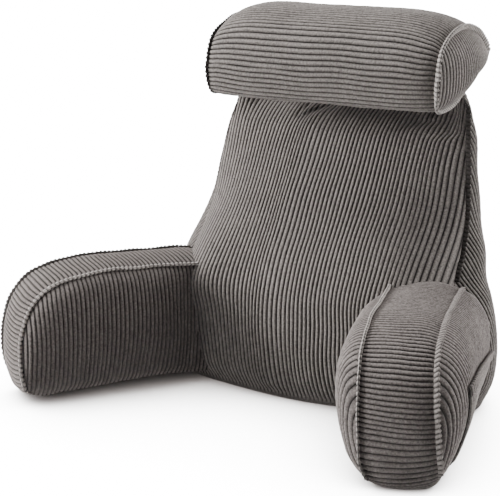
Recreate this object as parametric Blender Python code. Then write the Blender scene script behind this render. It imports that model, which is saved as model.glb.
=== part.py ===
"""A reading pillow with arms: a reclined filled backrest, two filled arms and a neck roll, all in wide-wale
corduroy with flanged seams. Metres, +Z up, the front faces -Y, and the origin is below the middle of the
pillow's box, on the surface that it stands on."""

import math

import bmesh
import bpy
import numpy as np

# Driving sizes, in metres and degrees.
WALE = 0.007  # one rib of the corduroy
RIB = WALE / 2  # from a rib's crest to the next furrow
RELIEF = 0.0011  # a crest stands this far over a furrow
SEAM_DRAW = 0.012  # ribs fade out this far from a seam
GUSSET = 0.103  # width of an arm's top, seam to seam
GUSSET_CROWN = 0.006
UNDERSIDE_CROWN = 0.031  # the underside swells down by this much and is pressed flat by the floor
UNDERSIDE_OUTER_POWER = 0.6
UNDERSIDE_FROM = 0.312  # the underside starts to swell here, this far from the root
UNDERSIDE_FULL = 0.262
INNER_LEAN = 0.05  # the arm's seams run outwards by this share of the drop below the arm's top
OUTER_LEAN = 0.097
ARM_HEIGHT = 0.22
SIDE_ROUND = 0.085  # the side panels reach their full swell this far from the nose
SIDE_SKEW = {"inner": (0.8, 0.5), "outer": (1.1, 0.6)}  # powers of the share of the height from below and above
ROOT_FROM = {"inner": 0.0, "outer": -0.08}
ROOT_ROUND = 0.11  # and this far from the backrest
ROOT_SWELL = 0.15  # share of the swell left at the backrest
TAIL_FROM = 0.0  # behind here the outer panel runs into the backrest
TAIL_LENGTH = 0.13
TAIL_DRAW = 0.065
TOE_DROP_FROM = 0.098  # from this height down an arm's seams sink below its profile at the toe
TOE_DROP_FULL = 0.034
TOE_DROP_BACK = 0.12  # and from this far from the root
TOE_DROP_REACH = 0.10
GATHER_FROM = 0.050  # below this height the toe's corners are gathered in
GATHER = {"inner": 0.012, "outer": -0.005}

FLANGE_WIDTH = 0.0078
FLANGE_THICK = 0.003
FLANGE_STEP = 0.015
FLANGE_FOOT = 0.001
FLANGE_LIFT = 0.0011  # over the seam line, so that the straight steps clear its bends
FOLDED_LIFT = 0.0018  # the same for a flange that is folded right over
FOLDED_FROM = 1.0
FLOOR_CLEAR = 0.002  # a flange's edge is turned up to stay this high
ROLL_FLANGE_STEP = 0.0105
ROLL_FLANGE_LEAN = {-1: (0.93, 0.36), 1: (0.6, 0.8)}  # off the roll's length and off its end

ROLL_HALF = 0.1905
ROLL_OFFSET = 0.0135  # the roll lies this far to the right of the backrest's middle
ROLL_CROWN = 0.024
ROLL_CROWN_POWERS = (6, 0.75)  # how flat the crown is along the roll, and how soon it drops at the ends
ROLL_CROWN_MEAN = 0.55  # share of the crown at the front and the back
ROLL_CROWN_TOP = 0.45  # share more on top, and less underneath
ROLL_END_CROWN = 0.026
CORDUROY = (0.19, 0.165, 0.158, 1.0)
CORDUROY_ROUGHNESS = 0.95

ARMS = (
    # name, side, splay in degrees, root x, root y, inner swell, outer swell, inner power of the underside,
    # inner and outer toe drop, inner and outer fold of the flange: above 0 towards the side panel
    ("arm_left", -1, 40.0, 0.1972, -0.0064, 0.032, 0.036, 6.0, (0.007, 0.014), (0.5, 0.5)),
    ("arm_right", 1, 12.5, 0.1972, 0.0029, 0.042, 0.042, 0.7, (0.021, 0.006), (-0.6, 1.2)),
)
ARM_PROFILE = (
    # place, distance from the root, height: the line that both seams of the gusset follow
    ("tail", -0.120, 0.100),
    ("tail slope", -0.060, 0.168),
    ("root", 0.000, 0.2095),
    ("top", 0.060, 0.2140),
    ("top middle", 0.120, 0.2155),
    ("top front", 0.197, 0.2150),
    ("shoulder", 0.240, 0.2080),
    ("bend", 0.271, 0.1960),
    ("nose top", 0.297, 0.1705),
    ("nose", 0.3105, 0.1380),
    ("nose front", 0.3160, 0.0980),
    ("nose low", 0.3130, 0.0560),
    ("toe", 0.3020, 0.0330),
    ("toe under", 0.2850, 0.0250),
    ("underside", 0.2500, 0.0265),
    ("underside middle", 0.0900, 0.0280),
    ("underside root", 0.0000, 0.0225),
    ("underside tail", -0.1200, 0.0180),
)
BACK_EDGE = (
    # height, half width at the side seam, set-back of the side seam
    (0.0120, 0.2620, 0.020),
    (0.0600, 0.2600, 0.006),
    (0.1300, 0.2520, 0.008),
    (0.1800, 0.2390, 0.024),
    (0.2100, 0.2300, 0.038),
    (0.2500, 0.2265, 0.071),
    (0.2900, 0.2235, 0.094),
    (0.3500, 0.2180, 0.110),
    (0.4000, 0.2110, 0.124),
    (0.4400, 0.2040, 0.139),
    (0.4700, 0.1980, 0.150),
    (0.4880, 0.1880, 0.157),
    (0.4980, 0.1650, 0.162),
    (0.5080, 0.1200, 0.166),
    (0.5150, 0.0600, 0.170),
    (0.5170, 0.0000, 0.171),
)
BACK_LINES = (
    # height, front middle, back middle, side swell, power of the front's crown
    (0.012, -0.0400, 0.225, 0.012, 1.7),
    (0.040, -0.0560, 0.243, 0.026, 2.4),
    (0.090, -0.0670, 0.254, 0.036, 3.4),
    (0.140, -0.0710, 0.258, 0.037, 5.5),
    (0.190, -0.0680, 0.256, 0.036, 9.0),
    (0.236, -0.0450, 0.250, 0.029, 6.5),
    (0.290, -0.0030, 0.242, 0.014, 3.2),
    (0.353, 0.0440, 0.232, 0.010, 2.4),
    (0.410, 0.0890, 0.222, 0.010, 2.2),
    (0.455, 0.1280, 0.210, 0.004, 2.2),
    (0.490, 0.1560, 0.196, 0.001, 2.1),
    (0.517, 0.1710, 0.173, 0.000, 2.0),
)
ROLL_PRESS = (
    # height, how far the roll presses the front back there
    (0.400, 0.000),
    (0.425, 0.002),
    (0.440, 0.010),
    (0.455, 0.026),
    (0.470, 0.028),
    (0.490, 0.015),
    (0.517, 0.000),
)
PRESS_HALF = 0.13  # half the width that the roll presses
PRESS_FADE = 0.05  # and how far beside it the press fades out
FRONT_EDGE_ROUND = 0.2  # share of the front's depth that turns back like an ellipse
ROLL_SECTION = (
    # place, set-back, height: the seam round each end of the roll
    ("front", -0.009, 0.530),
    ("upper front", 0.006, 0.566),
    ("top front", 0.043, 0.585),
    ("top", 0.100, 0.594),
    ("top back", 0.154, 0.586),
    ("upper back", 0.196, 0.568),
    ("back", 0.222, 0.541),
    ("lower back", 0.193, 0.524),
    ("under back", 0.150, 0.511),
    ("under", 0.100, 0.490),
    ("under front", 0.045, 0.480),
    ("lower front", 0.000, 0.487),
)
ARM_SHARES = (0.0, 0.08, 0.31, 0.66, 0.92, 1.0)  # of a side panel's height
GUSSET_SHARES = (0.0, 0.25, 0.70, 0.88, 1.0)  # of a gusset's width
FRONT_ROWS = (0.012, 0.050, 0.108, 0.165, 0.215, 0.270, 0.340, 0.415, 0.440, 0.460)
ROW_CLEAR = 0.004  # rows of the front stop this far below the seam
ROLL_SHARES = (-1.0, -0.86, -0.4, 0.4, 0.86, 1.0)  # of the roll's half length
REAR_ROWS = (0.012, 0.035, 0.080, 0.140, 0.200, 0.260, 0.325, 0.390, 0.445, 0.480)
REAR_COLUMNS = 27
BASE_INSET = 0.93
BASE_FRONT = 0.85
REAR_SQUARENESS = 0.55
PROFILE_POINTS = 1200
LEVEL_TOP = 0.235  # up to here the ribs of an arm's gusset line up with those of its side panels
TOE = 0.285  # the ribs of the gusset end here, under the nose
UNDER_ROWS = 16
SNAP = 0.0010  # seam points this near are made one
ROLL_END_POINTS = 36
ROLL_END_SHARES = (0.86, 0.45)
FLANGE_CLEAR = 0.004  # a flange starts this far in front of the backrest
FLANGE_TOE = 0.293
BACK_FLANGE_FROM = 0.222
BACK_FLANGE_TO = 0.476
BACK_FLANGE_LEAN = (0.96, 0.28)  # sideways and to the back
CLEARANCE = 0.0009  # between the backrest and what lies against it
NEAR_SEAM = 0.006
POCKET_BACK = 0.025
POCKET_FRONT = 0.267
POCKET_BOTTOM = 0.08  # share of the panel's height
POCKET_TOP = (0.525, 0.735)  # the same for the open edge's back and front corners
POCKET_CELLS = 10
POCKET_LIFT = 0.0009
POCKET_THICK = 0.002
WELD = 0.00001
REAR_POWER = 0.9  # how soon the back panel turns back from the side seams
SWELL_PEAK = 27 / 256  # the largest value of depth times (1 - depth) cubed


def clear_scene():
    for item in list(bpy.data.objects):
        bpy.data.objects.remove(item, do_unlink=True)


def curve(knots, values, at):
    """A smooth curve through a table's points (cubic, with slopes taken from each point's neighbours)."""
    knots = np.asarray(knots, float)
    values = np.asarray(values, float)
    at = np.clip(np.asarray(at, float), knots[0], knots[-1])
    steps = np.diff(knots)
    rises = np.diff(values) / steps
    slopes = np.empty_like(values)
    slopes[0], slopes[-1] = rises[0], rises[-1]
    slopes[1:-1] = (rises[:-1] * steps[1:] + rises[1:] * steps[:-1]) / (steps[1:] + steps[:-1])
    cell = np.clip(np.searchsorted(knots, at, side="right") - 1, 0, len(steps) - 1)
    part = (at - knots[cell]) / steps[cell]
    low, high = values[cell], values[cell + 1]
    slope_low, slope_high = slopes[cell] * steps[cell], slopes[cell + 1] * steps[cell]
    return (
        low * (1 + 2 * part) * (1 - part) ** 2
        + slope_low * part * (1 - part) ** 2
        + high * part**2 * (3 - 2 * part)
        + slope_high * part**2 * (part - 1)
    )


def ease(value):
    """0 below 0, 1 above 1, and a smooth step between."""
    value = np.clip(value, 0.0, 1.0)
    return value * value * (3 - 2 * value)


def rounded(share):
    """A quarter circle: 0 at 0, 1 from 1 on."""
    return math.sqrt(max(0.0, 1 - (1 - np.clip(share, 0.0, 1.0)) ** 2))


def hump(share, near_power, far_power):
    """0 at both ends and 1 at its highest, which lies towards the end with the smaller power."""
    peak = near_power / (near_power + far_power)
    height = peak**near_power * (1 - peak) ** far_power
    return share**near_power * (1 - share) ** far_power / height


def unit(vector):
    return vector / np.linalg.norm(vector)


def progress(row):
    """How far along a row of points each of them is, from 0 to 1."""
    run = np.concatenate(([0.0], np.cumsum(np.linalg.norm(np.diff(row, axis=0), axis=1))))
    return run / run[-1]


def heights(row):
    return [point[2] for point in row]


class Skin:
    """The faces of one closed piece. Points that fall together are welded when the piece is made."""

    def __init__(self):
        self.points = []
        self.faces = []

    def face(self, corners):
        start = len(self.points)
        self.points.extend(np.asarray(corner, float) for corner in corners)
        self.faces.append(tuple(range(start, len(self.points))))

    def zip_edges(self, first, second, measure=progress):
        """Triangles between two rows of points that run the same way, keeping step along both."""
        first_run, second_run = measure(first), measure(second)
        i, j = 0, 0
        while i < len(first) - 1 or j < len(second) - 1:
            if j == len(second) - 1 or (i < len(first) - 1 and first_run[i + 1] <= second_run[j + 1]):
                self.face((first[i], first[i + 1], second[j]))
                i += 1
            else:
                self.face((first[i], second[j + 1], second[j]))
                j += 1

    def piece(self, name, material, collection):
        mesh = bpy.data.meshes.new(name)
        mesh.from_pydata(self.points, [], self.faces)
        work = bmesh.new()
        work.from_mesh(mesh)
        bmesh.ops.remove_doubles(work, verts=work.verts, dist=WELD)
        bmesh.ops.dissolve_degenerate(work, edges=work.edges, dist=WELD)
        bmesh.ops.triangulate(work, faces=work.faces)
        bmesh.ops.recalc_face_normals(work, faces=work.faces)
        if work.calc_volume(signed=True) < 0:
            bmesh.ops.reverse_faces(work, faces=work.faces)
        work.to_mesh(mesh)
        work.free()
        mesh.shade_smooth()
        mesh.materials.append(material)
        made = bpy.data.objects.new(name, mesh)
        collection.objects.link(made)
        return made


class ArmForm:
    """One arm. Its own directions are along (from the root to the nose), out (away from the seat) and up."""

    def __init__(self, side, splay, root_x, root_y, inner_swell, outer_swell, under_power, drops, folds):
        angle = math.radians(splay)
        self.side = side
        self.root = np.array((side * root_x, root_y, 0.0))
        self.along = np.array((side * math.sin(angle), -math.cos(angle), 0.0))
        self.out = np.array((side * math.cos(angle), math.sin(angle), 0.0))
        self.swell = {"inner": inner_swell, "outer": outer_swell}
        self.under_power = under_power
        self.drop = dict(zip(("inner", "outer"), drops))
        self.fold = dict(zip(("inner", "outer"), folds))
        self.set_profile()

    def set_profile(self):
        """The seam line's points, evenly spaced, with their run along the line and their normals."""
        reach = np.array([row[1] for row in ARM_PROFILE])
        height = np.array([row[2] for row in ARM_PROFILE])
        knots = np.concatenate(([0.0], np.cumsum(np.hypot(np.diff(reach), np.diff(height)))))
        fine = np.linspace(0, knots[-1], PROFILE_POINTS)
        u, z = curve(knots, reach, fine), curve(knots, height, fine)
        self.run = np.concatenate(([0.0], np.cumsum(np.hypot(np.diff(u), np.diff(z)))))
        self.u, self.z = u, z
        slope_u, slope_z = np.gradient(u, self.run), np.gradient(z, self.run)
        length = np.hypot(slope_u, slope_z)
        self.normal_u, self.normal_z = -slope_z / length, slope_u / length
        self.tip = int(np.argmax(u))
        self.tip_u = u[self.tip]

    def run_at(self, u, top=True):
        """Where on the seam line it is this far from the root, on its way out or on its way back."""
        if top:
            return np.interp(u, self.u[: self.tip + 1], self.run[: self.tip + 1])
        back_u, back_run = self.u[self.tip :][::-1], self.run[self.tip :][::-1]
        return np.interp(u, back_u, back_run)

    def seam(self, run, which):
        """A point of the seam line, in metres of the whole pillow."""
        u, z = np.interp(run, self.run, self.u), np.interp(run, self.run, self.z)
        z = self.sunk(u, z, which)
        return self.world(u, self.edge(u, z, which), z)

    def sunk(self, u, z, which):
        """The height of a seam: the profile's, less what the toe drops."""
        low = ease((TOE_DROP_FROM - z) / (TOE_DROP_FROM - TOE_DROP_FULL))
        return z - self.drop[which] * low * ease((u - TOE_DROP_BACK) / TOE_DROP_REACH)

    def seam_normal(self, run):
        return np.interp(run, self.run, self.normal_u), np.interp(run, self.run, self.normal_z)

    def edge(self, u, z, which):
        drop = ARM_HEIGHT - z
        gather = GATHER[which] * ease((GATHER_FROM - z) / GATHER_FROM)
        if which == "inner":
            return -GUSSET / 2 + INNER_LEAN * drop + gather
        return GUSSET / 2 + OUTER_LEAN * drop + gather - TAIL_DRAW * ease((TAIL_FROM - u) / TAIL_LENGTH)

    def world(self, u, v, z):
        return self.root + u * self.along + v * self.out + np.array((0.0, 0.0, z))

    def gusset(self, run, across, rib):
        """A point of the gusset, from the inner seam (across 0) to the outer one (across 1)."""
        u, z = np.interp(run, self.run, self.u), np.interp(run, self.run, self.z)
        normal_u, normal_z = self.seam_normal(run)
        under = ease((UNDERSIDE_FROM - u) / (UNDERSIDE_FROM - UNDERSIDE_FULL)) if normal_z < 0 else 0.0
        rise = (GUSSET_CROWN * 4 * across * (1 - across) + rib) * (1 - under)
        rise += UNDERSIDE_CROWN * hump(across, self.under_power, UNDERSIDE_OUTER_POWER) * under
        low_inner, low_outer = self.sunk(u, z, "inner"), self.sunk(u, z, "outer")
        v = (1 - across) * self.edge(u, low_inner, "inner") + across * self.edge(u, low_outer, "outer")
        z = (1 - across) * low_inner + across * low_outer
        return self.world(u + normal_u * rise, v, max(z + normal_z * rise, 0.0))

    def lean(self, run, which):
        """The direction in which a flange stands: midway off the gusset and off the side panel."""
        seam = self.seam(run, which)
        near = NEAR_SEAM / GUSSET
        on_gusset = self.gusset(run, near if which == "inner" else 1 - near, 0.0)
        normal_u, normal_z = self.seam_normal(run)
        u = np.interp(run, self.run, self.u) - normal_u * NEAR_SEAM
        z = seam[2] - normal_z * NEAR_SEAM
        low, high = self.span(u, which)
        on_side = self.side_panel(u, np.clip((z - low) / (high - low), 0.0, 1.0), which, 0.0)
        to_side = unit(on_side - seam)
        return unit(self.fold[which] * to_side - unit(unit(on_gusset - seam) + to_side))

    def span(self, u, which):
        """The heights of a side panel's bottom and top seams, this far from the root."""
        low = self.sunk(u, np.interp(self.run_at(u, top=False), self.run, self.z), which)
        high = np.interp(self.run_at(u), self.run, self.z)
        return low, high

    def side_panel(self, u, share, which, rib):
        """A point of a side panel, from its bottom seam (share 0) up to its top seam (share 1)."""
        low, high = self.span(u, which)
        z = low + share * (high - low)
        from_root = ROOT_SWELL + (1 - ROOT_SWELL) * ease((u - ROOT_FROM[which]) / ROOT_ROUND)
        rounding = min(rounded((self.tip_u - u) / SIDE_ROUND), from_root)
        swell = self.swell[which] * rounding * hump(share, *SIDE_SKEW[which])
        fade = ease(min(share, 1 - share) * (high - low) / SEAM_DRAW)
        outward = -1 if which == "inner" else 1
        return self.world(u, self.edge(u, z, which) + outward * (swell + rib * fade), z)


def rib_at(index):
    """A crest on every even line, a furrow on every odd one."""
    return RELIEF if index % 2 == 0 else 0.0


def between(values, low, high):
    """The values from low to high, both included."""
    return values[(values >= low - WELD) & (values <= high + WELD)]


def arm_skin(form):
    skin = Skin()
    first = math.ceil(form.u[0] / RIB)
    last = math.floor((form.tip_u - SNAP / 2) / RIB)
    columns = np.arange(first, last + 1) * RIB
    top_runs, low_runs = form.run_at(columns), form.run_at(columns, top=False)
    level_rows = top_runs[columns < LEVEL_TOP]
    toe_run = form.run_at(TOE, top=False)
    nose_rows = np.arange(level_rows[-1] + RIB, toe_run, RIB)
    under_rows = np.linspace(toe_run + RIB, low_runs[0], UNDER_ROWS)
    rows = np.concatenate((level_rows, nose_rows, under_rows))
    fixed = np.concatenate((top_runs, low_runs))
    edges = np.array([fixed[np.argmin(abs(fixed - row))] if min(abs(fixed - row)) < SNAP else row for row in rows])
    seam_runs = np.unique(np.concatenate((fixed, edges)))

    def seam_between(low, high, which):
        return [form.seam(run, which) for run in between(seam_runs, low, high)]

    inner_shares = GUSSET_SHARES[1:-1]
    grid = [
        [form.gusset(run, across, rib_at(index)) for across in inner_shares]
        for index, run in enumerate(rows)
    ]
    for j in range(len(rows) - 1):
        skin.face(seam_between(edges[j], edges[j + 1], "inner") + [grid[j + 1][0], grid[j][0]])
        skin.face(seam_between(edges[j], edges[j + 1], "outer")[::-1] + [grid[j][-1], grid[j + 1][-1]])
        for k in range(len(inner_shares) - 1):
            skin.face((grid[j][k], grid[j + 1][k], grid[j + 1][k + 1], grid[j][k + 1]))

    sides = {}
    for which in ("inner", "outer"):
        lines = [
            [form.side_panel(u, share, which, rib_at(first + index)) for share in ARM_SHARES[1:-1]]
            for index, u in enumerate(columns)
        ]
        for k in range(len(columns) - 1):
            skin.face(seam_between(top_runs[k], top_runs[k + 1], which) + [lines[k + 1][-1], lines[k][-1]])
            skin.face(seam_between(low_runs[k + 1], low_runs[k], which) + [lines[k][0], lines[k + 1][0]])
            for j in range(len(lines[k]) - 1):
                skin.face((lines[k][j], lines[k + 1][j], lines[k + 1][j + 1], lines[k][j + 1]))
        skin.face(seam_between(top_runs[-1], low_runs[-1], which) + lines[-1])
        sides[which] = lines[0]

    tail = (
        [form.seam(edges[0], "inner")]
        + grid[0]
        + [form.seam(edges[0], "outer")]
        + sides["outer"][::-1]
        + [form.seam(edges[-1], "outer")]
        + grid[-1][::-1]
        + [form.seam(edges[-1], "inner")]
        + sides["inner"]
    )
    skin.face(tail)
    return skin


class BackForm:
    """The backrest. Its side seams run up from the foot, round the shoulders and along the top."""

    def __init__(self):
        height, half, setback = (np.array(column) for column in zip(*BACK_EDGE))
        knots = np.concatenate(([0.0], np.cumsum(np.hypot(np.diff(half), np.diff(height)))))
        self.run = np.linspace(0, knots[-1], PROFILE_POINTS)
        self.half = curve(knots, half, self.run)
        self.height = curve(knots, height, self.run)
        self.setback = curve(knots, setback, self.run)
        self.foot = self.height[0]
        rows = [np.array(column) for column in zip(*BACK_LINES)]
        self.level, self.front_middle, self.rear_middle, self.side_swell, self.power = rows
        self.press_level, self.press = (np.array(column) for column in zip(*ROLL_PRESS))

    def seam(self, run, side):
        x, y, z = (np.interp(run, self.run, values) for values in (self.half, self.setback, self.height))
        return np.array((side * x, y, z))

    def run_at_width(self, x):
        return np.interp(x, self.half[::-1], self.run[::-1])

    def run_at_height(self, z):
        return np.interp(z, self.height, self.run)

    def edge_at(self, z):
        return np.interp(z, self.height, self.half), np.interp(z, self.height, self.setback)

    def front(self, x, z, rib):
        half, setback = self.edge_at(z)
        middle = curve(self.level, self.front_middle, z)
        share = min(1.0, abs(x) / max(half, WELD))
        power = curve(self.level, self.power, z)
        depth = (1 - FRONT_EDGE_ROUND) * share**power + FRONT_EDGE_ROUND * (1 - math.sqrt(1 - share * share))
        press = curve(self.press_level, self.press, z) * (1 - ease((abs(x) - PRESS_HALF) / PRESS_FADE))
        return np.array((x, middle + (setback - middle) * depth + press - rib, z))

    def rear(self, share, z):
        """A point of the back panel, from the left seam (share -1) round to the right one (share 1)."""
        half, setback = self.edge_at(z)
        middle = curve(self.level, self.rear_middle, z)
        cosine = abs(share) ** (1 / REAR_SQUARENESS)
        depth = math.sqrt(max(0.0, 1 - cosine * cosine)) ** REAR_POWER
        swell = curve(self.level, self.side_swell, z) * depth * (1 - depth) ** 3 / SWELL_PEAK
        x = half * share + math.copysign(swell, share)
        return np.array((x, setback + (middle - setback) * depth, z))


def back_skin(form):
    skin = Skin()
    last = math.floor((form.half[0] - SNAP / 2) / RIB)
    indices = np.arange(-last, last + 1)
    columns = indices * RIB
    width_runs = form.run_at_width(np.arange(0, last + 1) * RIB)
    row_runs = form.run_at_height(np.array(REAR_ROWS))
    seam_runs = np.unique(np.concatenate((width_runs, row_runs)))

    def seam_points(low, high, side):
        return [form.seam(run, side) for run in between(seam_runs, low, high)]

    lines = []
    for index, x in zip(indices, columns):
        top = form.seam(width_runs[abs(index)], math.copysign(1, index))
        line = []
        for z in FRONT_ROWS:
            if z < top[2] - ROW_CLEAR:
                from_seam = min(z - form.foot, top[2] - z, form.edge_at(z)[0] - abs(x))
                line.append(form.front(x, z, rib_at(index) * ease(from_seam / SEAM_DRAW)))
        lines.append(line)
    for k in range(len(columns) - 1):
        side = -1 if indices[k] < 0 else 1
        outer, inner = (k, k + 1) if side < 0 else (k + 1, k)
        seam = seam_points(width_runs[abs(indices[outer])], width_runs[abs(indices[inner])], side)
        skin.zip_edges(lines[outer] + seam[:-1], lines[inner] + seam[-1:], heights)
    foot_to_last = seam_points(0.0, width_runs[last], 1)
    skin.face(lines[-1] + foot_to_last[::-1])
    foot_to_last = seam_points(0.0, width_runs[last], -1)
    skin.face(lines[0] + foot_to_last[::-1])

    rear_shares = [math.sin(math.radians(angle)) for angle in np.linspace(-90, 90, REAR_COLUMNS)]
    rows = [[form.rear(share, z) for share in rear_shares[1:-1]] for z in REAR_ROWS]
    for j in range(len(rows) - 1):
        for side, end in ((-1, 0), (1, -1)):
            skin.face(seam_points(row_runs[j], row_runs[j + 1], side) + [rows[j + 1][end], rows[j][end]])
        for k in range(len(rows[j]) - 1):
            skin.face((rows[j][k], rows[j][k + 1], rows[j + 1][k + 1], rows[j + 1][k]))
    left_top = seam_points(row_runs[-1], form.run[-1], -1)
    right_top = seam_points(row_runs[-1], form.run[-1], 1)[::-1]
    over_top = left_top + right_top[1:]
    last_row = [left_top[0]] + rows[-1] + [right_top[-1]]
    skin.zip_edges(last_row, over_top)

    foot_ring = [form.seam(0.0, -1)] + [line[0] for line in lines] + [form.seam(0.0, 1)]
    foot_ring += rows[0][::-1] + [form.seam(0.0, -1)]
    across = np.linspace(-BASE_FRONT, BASE_FRONT, REAR_COLUMNS) * form.half[0]
    base_ring = [form.front(x, form.foot, 0.0) for x in across]
    base_ring += [form.rear(share, form.foot) for share in rear_shares[::-1]]
    middle = np.array((0.0, (form.front_middle[0] + form.rear_middle[0]) / 2, 0.0))
    base_ring = [middle + (point - middle) * BASE_INSET * np.array((1, 1, 0)) for point in base_ring]
    base_ring.append(base_ring[0])
    skin.zip_edges(foot_ring, base_ring)
    skin.face(base_ring[:-1])
    return skin


class RollForm:
    """The neck roll: one section along its whole length, fuller in the middle, between two domed ends."""

    def __init__(self):
        places = np.array([row[1:] for row in ROLL_SECTION])
        places = np.vstack((places, places, places, places[:1]))
        knots = np.concatenate(([0.0], np.cumsum(np.linalg.norm(np.diff(places, axis=0), axis=1))))
        turn = len(ROLL_SECTION)
        fine = np.linspace(knots[turn], knots[2 * turn], PROFILE_POINTS)
        y, z = curve(knots, places[:, 0], fine), curve(knots, places[:, 1], fine)
        run = np.concatenate(([0.0], np.cumsum(np.hypot(np.diff(y), np.diff(z)))))
        self.count = 2 * round(run[-1] / WALE)
        stops = np.arange(self.count) * run[-1] / self.count
        self.y, self.z = np.interp(stops, run, y), np.interp(stops, run, z)
        step_y = np.roll(self.y, -1) - np.roll(self.y, 1)
        step_z = np.roll(self.z, -1) - np.roll(self.z, 1)
        length = np.hypot(step_y, step_z)
        self.normal_y, self.normal_z = -step_z / length, step_y / length
        self.middle = np.array((0.0, (y.max() + y.min()) / 2, (z.max() + z.min()) / 2))

    def seam(self, index, side):
        return np.array((ROLL_OFFSET + side * ROLL_HALF, self.y[index], self.z[index]))

    def normal(self, index):
        return np.array((0.0, self.normal_y[index], self.normal_z[index]))

    def ring(self, share):
        """The points round the roll at this share of its half length."""
        flatness, drop = ROLL_CROWN_POWERS
        crown = ROLL_CROWN * (1 - share**flatness) ** drop
        fade = ease((1 - abs(share)) * ROLL_HALF / SEAM_DRAW)
        ring = []
        for index in range(self.count):
            rise = crown * (ROLL_CROWN_MEAN + ROLL_CROWN_TOP * self.normal_z[index]) + rib_at(index) * fade
            ring.append(self.seam(index, share) + self.normal(index) * rise)
        return ring

    def end_ring(self, side, share):
        """A coarser ring on a domed end, at this share of the end's size."""
        outwards = np.array((side * ROLL_END_CROWN * (1 - share**2), 0.0, 0.0))
        step = self.count // ROLL_END_POINTS
        middle = self.middle + np.array((ROLL_OFFSET + side * ROLL_HALF, 0.0, 0.0))
        return [
            middle + (self.seam(index, side) - middle) * share + outwards
            for index in range(0, step * ROLL_END_POINTS, step)
        ]


def closed(ring):
    return list(ring) + [ring[0]]


def roll_skin(form):
    skin = Skin()
    rings = [form.ring(share) for share in ROLL_SHARES]
    for low, high in zip(rings[:-1], rings[1:]):
        for index in range(form.count):
            after = (index + 1) % form.count
            skin.face((low[index], low[after], high[after], high[index]))
    for side, edge in ((-1, rings[0]), (1, rings[-1])):
        outer, inner = (form.end_ring(side, share) for share in ROLL_END_SHARES)
        skin.zip_edges(closed(edge), closed(outer))
        for index in range(len(outer)):
            after = (index + 1) % len(outer)
            skin.face((outer[index], outer[after], inner[after], inner[index]))
        skin.face(inner)
    return skin


def off_floor(place, lean):
    """The same lean, turned up where the flange's edge would lie below the floor."""
    least = (FLOOR_CLEAR - place[2]) / FLANGE_WIDTH
    if lean[2] >= least:
        return lean
    level = unit(lean * np.array((1, 1, 0)))
    return level * math.sqrt(1 - least * least) + np.array((0, 0, least))


def ribbon_skin(places, leans, lift, looped):
    """A flange: a flat strip that stands on a line of places, each with the direction in which it leans."""
    skin = Skin()
    count = len(places)
    sections = []
    for index in range(count):
        before = places[(index - 1) % count if looped else max(index - 1, 0)]
        after = places[(index + 1) % count if looped else min(index + 1, count - 1)]
        tangent = unit(after - before)
        lean = off_floor(places[index], unit(leans[index] - tangent * np.dot(leans[index], tangent)))
        foot_half, tip_half = (np.cross(tangent, lean) * size / 2 for size in (FLANGE_FOOT, FLANGE_THICK))
        foot, tip = places[index] + lean * lift, places[index] + lean * FLANGE_WIDTH
        sections.append((foot - foot_half, foot + foot_half, tip + tip_half, tip - tip_half))
    for index in range(count if looped else count - 1):
        low, high = sections[index], sections[(index + 1) % count]
        for corner in range(4):
            skin.face((low[corner], low[corner - 1], high[corner - 1], high[corner]))
    if not looped:
        skin.face(sections[0])
        skin.face(sections[-1][::-1])
    return skin


def flange_root(form, back, which):
    """Where on its seam line an arm's flange comes out of the backrest."""
    run = form.run_at(0.0) - GUSSET / 2
    while True:
        x, y, z = form.seam(run, which)
        if y < back.front(x, z, 0.0)[1] - FLANGE_CLEAR:
            return run
        run += SNAP


def arm_flange(form, back, which):
    """The flange along one seam of an arm, from the backrest over the top and down the nose to the toe."""
    first, last = flange_root(form, back, which), form.run_at(FLANGE_TOE, top=False)
    runs = np.linspace(first, last, math.ceil((last - first) / FLANGE_STEP) + 1)
    places = [form.seam(run, which) for run in runs]
    leans = [form.lean(run, which) for run in runs]
    lift = FOLDED_LIFT if form.fold[which] > FOLDED_FROM else FLANGE_LIFT
    return ribbon_skin(places, leans, lift, looped=False)


def back_flange(form, side):
    """The flange up one side seam of the backrest, from the arm to the shoulder."""
    first, last = form.run_at_height(BACK_FLANGE_FROM), form.run_at_height(BACK_FLANGE_TO)
    runs = np.linspace(first, last, math.ceil((last - first) / FLANGE_STEP) + 1)
    places = [form.seam(run, side) for run in runs]
    lean = unit(np.array((side * BACK_FLANGE_LEAN[0], BACK_FLANGE_LEAN[1], 0.0)))
    return ribbon_skin(places, [lean] * len(places), FOLDED_LIFT, looped=False)


def roll_flange(form, side):
    stops = range(0, form.count, round(ROLL_FLANGE_STEP / RIB))
    places = [form.seam(index, side) for index in stops]
    off_length, off_end = ROLL_FLANGE_LEAN[side]
    leans = [off_length * form.normal(index) + np.array((side * off_end, 0.0, 0.0)) for index in stops]
    return ribbon_skin(places, leans, FOLDED_LIFT, looped=True)


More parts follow.
